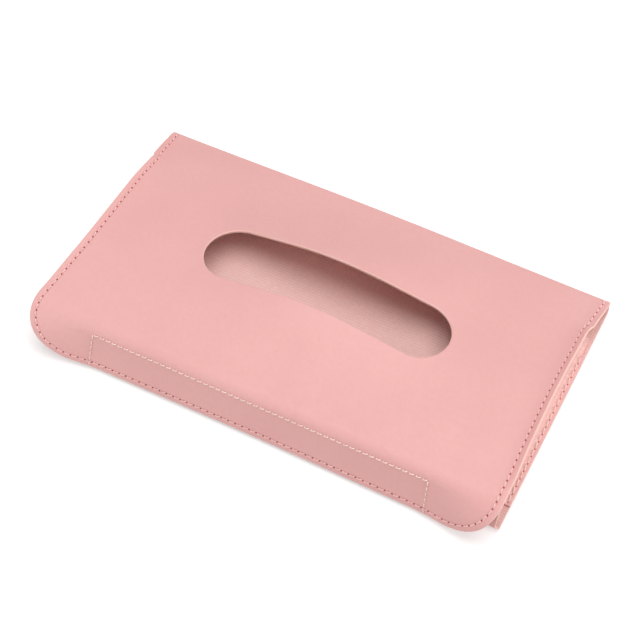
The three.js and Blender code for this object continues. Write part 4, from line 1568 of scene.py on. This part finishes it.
def make_world():
    """White for the camera and in reflections, and a soft light for the object."""
    world = bpy.data.worlds.new("studio")
    bpy.context.scene.world = world
    world.use_nodes = True
    sky = Nodes(world.node_tree)
    background = world.node_tree.nodes["Background"]
    sky.give(background.inputs["Strength"], sky.between(sky.seen(), 0, 1, 0.3, 1.0))
    background.inputs["Color"].default_value = (1, 1, 1, 1)


def make_lamps():
    """Three round soft lamps that face the object: name, place, width and power."""
    for name, place, width, power in (
        ("key", (0.2, 0.4, 2.12), 2.2, 32.8),
        ("fill", (-0.8, -1.0, 0.35), 0.7, 4.4),
        ("side", (1.1, -0.1, 0.35), 0.5, 3.9),
    ):
        lamp = bpy.data.lights.new(name, "AREA")
        lamp.size = width
        lamp.energy = power
        lamp.shape = "DISK"
        light = add_object(name, lamp)
        light.location = place
        light.rotation_euler = (-Vector(place)).to_track_quat("-Z", "Y").to_euler()


def make_camera():
    """The camera at the photograph's angle, which was solved from the object's edges."""
    turn, rise, roll = (math.radians(degrees) for degrees in (30.29, 57.01, 3.54))
    target, distance = Vector((-0.0012, 0.00176, 0.00145)), 0.7835
    level = math.cos(rise)
    back = Vector((math.sin(turn) * level, -math.cos(turn) * level, math.sin(rise)))
    right = Vector((math.cos(turn), math.sin(turn), 0))
    up = back.cross(right)
    across = math.cos(roll) * right - math.sin(roll) * up
    upward = math.sin(roll) * right + math.cos(roll) * up
    camera = bpy.data.cameras.new("camera")
    camera.sensor_width = 36
    camera.lens = 94.31
    camera.clip_start = 0.05
    viewer = add_object("camera", camera)
    rows = zip(across, upward, back, target + back * distance)
    viewer.matrix_world = Matrix([*rows, (0, 0, 0, 1)])
    bpy.context.scene.camera = viewer


class HolderOperator(bpy.types.Operator):
    """Makes pieces of the holder"""

    bl_options = {"REGISTER", "UNDO"}
    makers = ()

    def execute(self, context):
        shape = PouchShape(context.scene.tissue_holder)
        for maker in self.makers:
            maker(shape)
        return {"FINISHED"}


class MakeFlap(HolderOperator):
    """Makes the flap's leather, lining and board"""

    bl_idname = "tissue_holder.flap"
    bl_label = "Make flap"
    makers = (make_flap_leather, make_flap_lining, make_flap_board)


class MakeBackPanel(HolderOperator):
    """Makes the back panel's leather, lining and board"""

    bl_idname = "tissue_holder.back_panel"
    bl_label = "Make back panel"
    makers = (make_back_leather, make_back_lining, make_back_board)


class MakeGussets(HolderOperator):
    """Makes the folded leather at the two sides"""

    bl_idname = "tissue_holder.gussets"
    bl_label = "Make gussets"
    makers = (make_gussets,)


class MakeLip(HolderOperator):
    """Makes the closure lip's leather and lining"""

    bl_idname = "tissue_holder.lip"
    bl_label = "Make closure lip"
    makers = (make_lip,)


class MakeTapes(HolderOperator):
    """Makes the hook tape and the loop tape"""

    bl_idname = "tissue_holder.tapes"
    bl_label = "Make tapes"
    makers = (make_hook_tape, make_loop_tape)


class MakeBands(HolderOperator):
    """Makes the two elastic bands"""

    bl_idname = "tissue_holder.bands"
    bl_label = "Make elastic bands"
    makers = (make_bands,)


class MakeSeams(HolderOperator):
    """Makes all the stitches"""

    bl_idname = "tissue_holder.seams"
    bl_label = "Make seams"
    makers = (
        make_perimeter_seam,
        make_hook_tape_seam,
        make_gusset_seams,
        make_band_seams,
        make_loop_tape_seam,
    )


class MakeStage(bpy.types.Operator):
    """Makes the floor, the lights and the camera"""

    bl_idname = "tissue_holder.stage"
    bl_label = "Make stage"
    bl_options = {"REGISTER", "UNDO"}

    def execute(self, context):
        context.scene.view_settings.view_transform = "Standard"
        make_floor()
        make_world()
        make_lamps()
        make_camera()
        return {"FINISHED"}


PIECE_OPERATORS = (
    MakeFlap,
    MakeBackPanel,
    MakeGussets,
    MakeLip,
    MakeTapes,
    MakeBands,
    MakeSeams,
    MakeStage,
)
SETTING_GROUPS = (
    PouchSizes,
    MouthSizes,
    ClosureSizes,
    GussetSizes,
    BandSizes,
    SeamSizes,
    HolderColours,
    HolderSettings,
)


class HolderPanel(bpy.types.Panel):
    """Lists the holder's operators, sizes and colours"""

    bl_idname = "VIEW3D_PT_tissue_holder"
    bl_label = "Tissue holder"
    bl_space_type = "VIEW_3D"
    bl_region_type = "UI"
    bl_category = "Tissue Holder"

    def draw(self, context):
        for operator in PIECE_OPERATORS:
            self.layout.operator(operator.bl_idname)
        settings = context.scene.tissue_holder
        for key in settings.__annotations__:
            box = self.layout.box()
            box.label(text=key.title())
            group = getattr(settings, key)
            for name in group.__annotations__:
                box.prop(group, name)


def register():
    for group in SETTING_GROUPS + PIECE_OPERATORS + (HolderPanel,):
        bpy.utils.register_class(group)
    bpy.types.Scene.tissue_holder = PointerProperty(type=HolderSettings)


def unregister():
    del bpy.types.Scene.tissue_holder
    for group in reversed(SETTING_GROUPS + PIECE_OPERATORS + (HolderPanel,)):
        bpy.utils.unregister_class(group)


def main():
    register()
    for operator in PIECE_OPERATORS:
        group, name = operator.bl_idname.split(".")
        getattr(getattr(bpy.ops, group), name)()


if __name__ == "__main__":
    main()
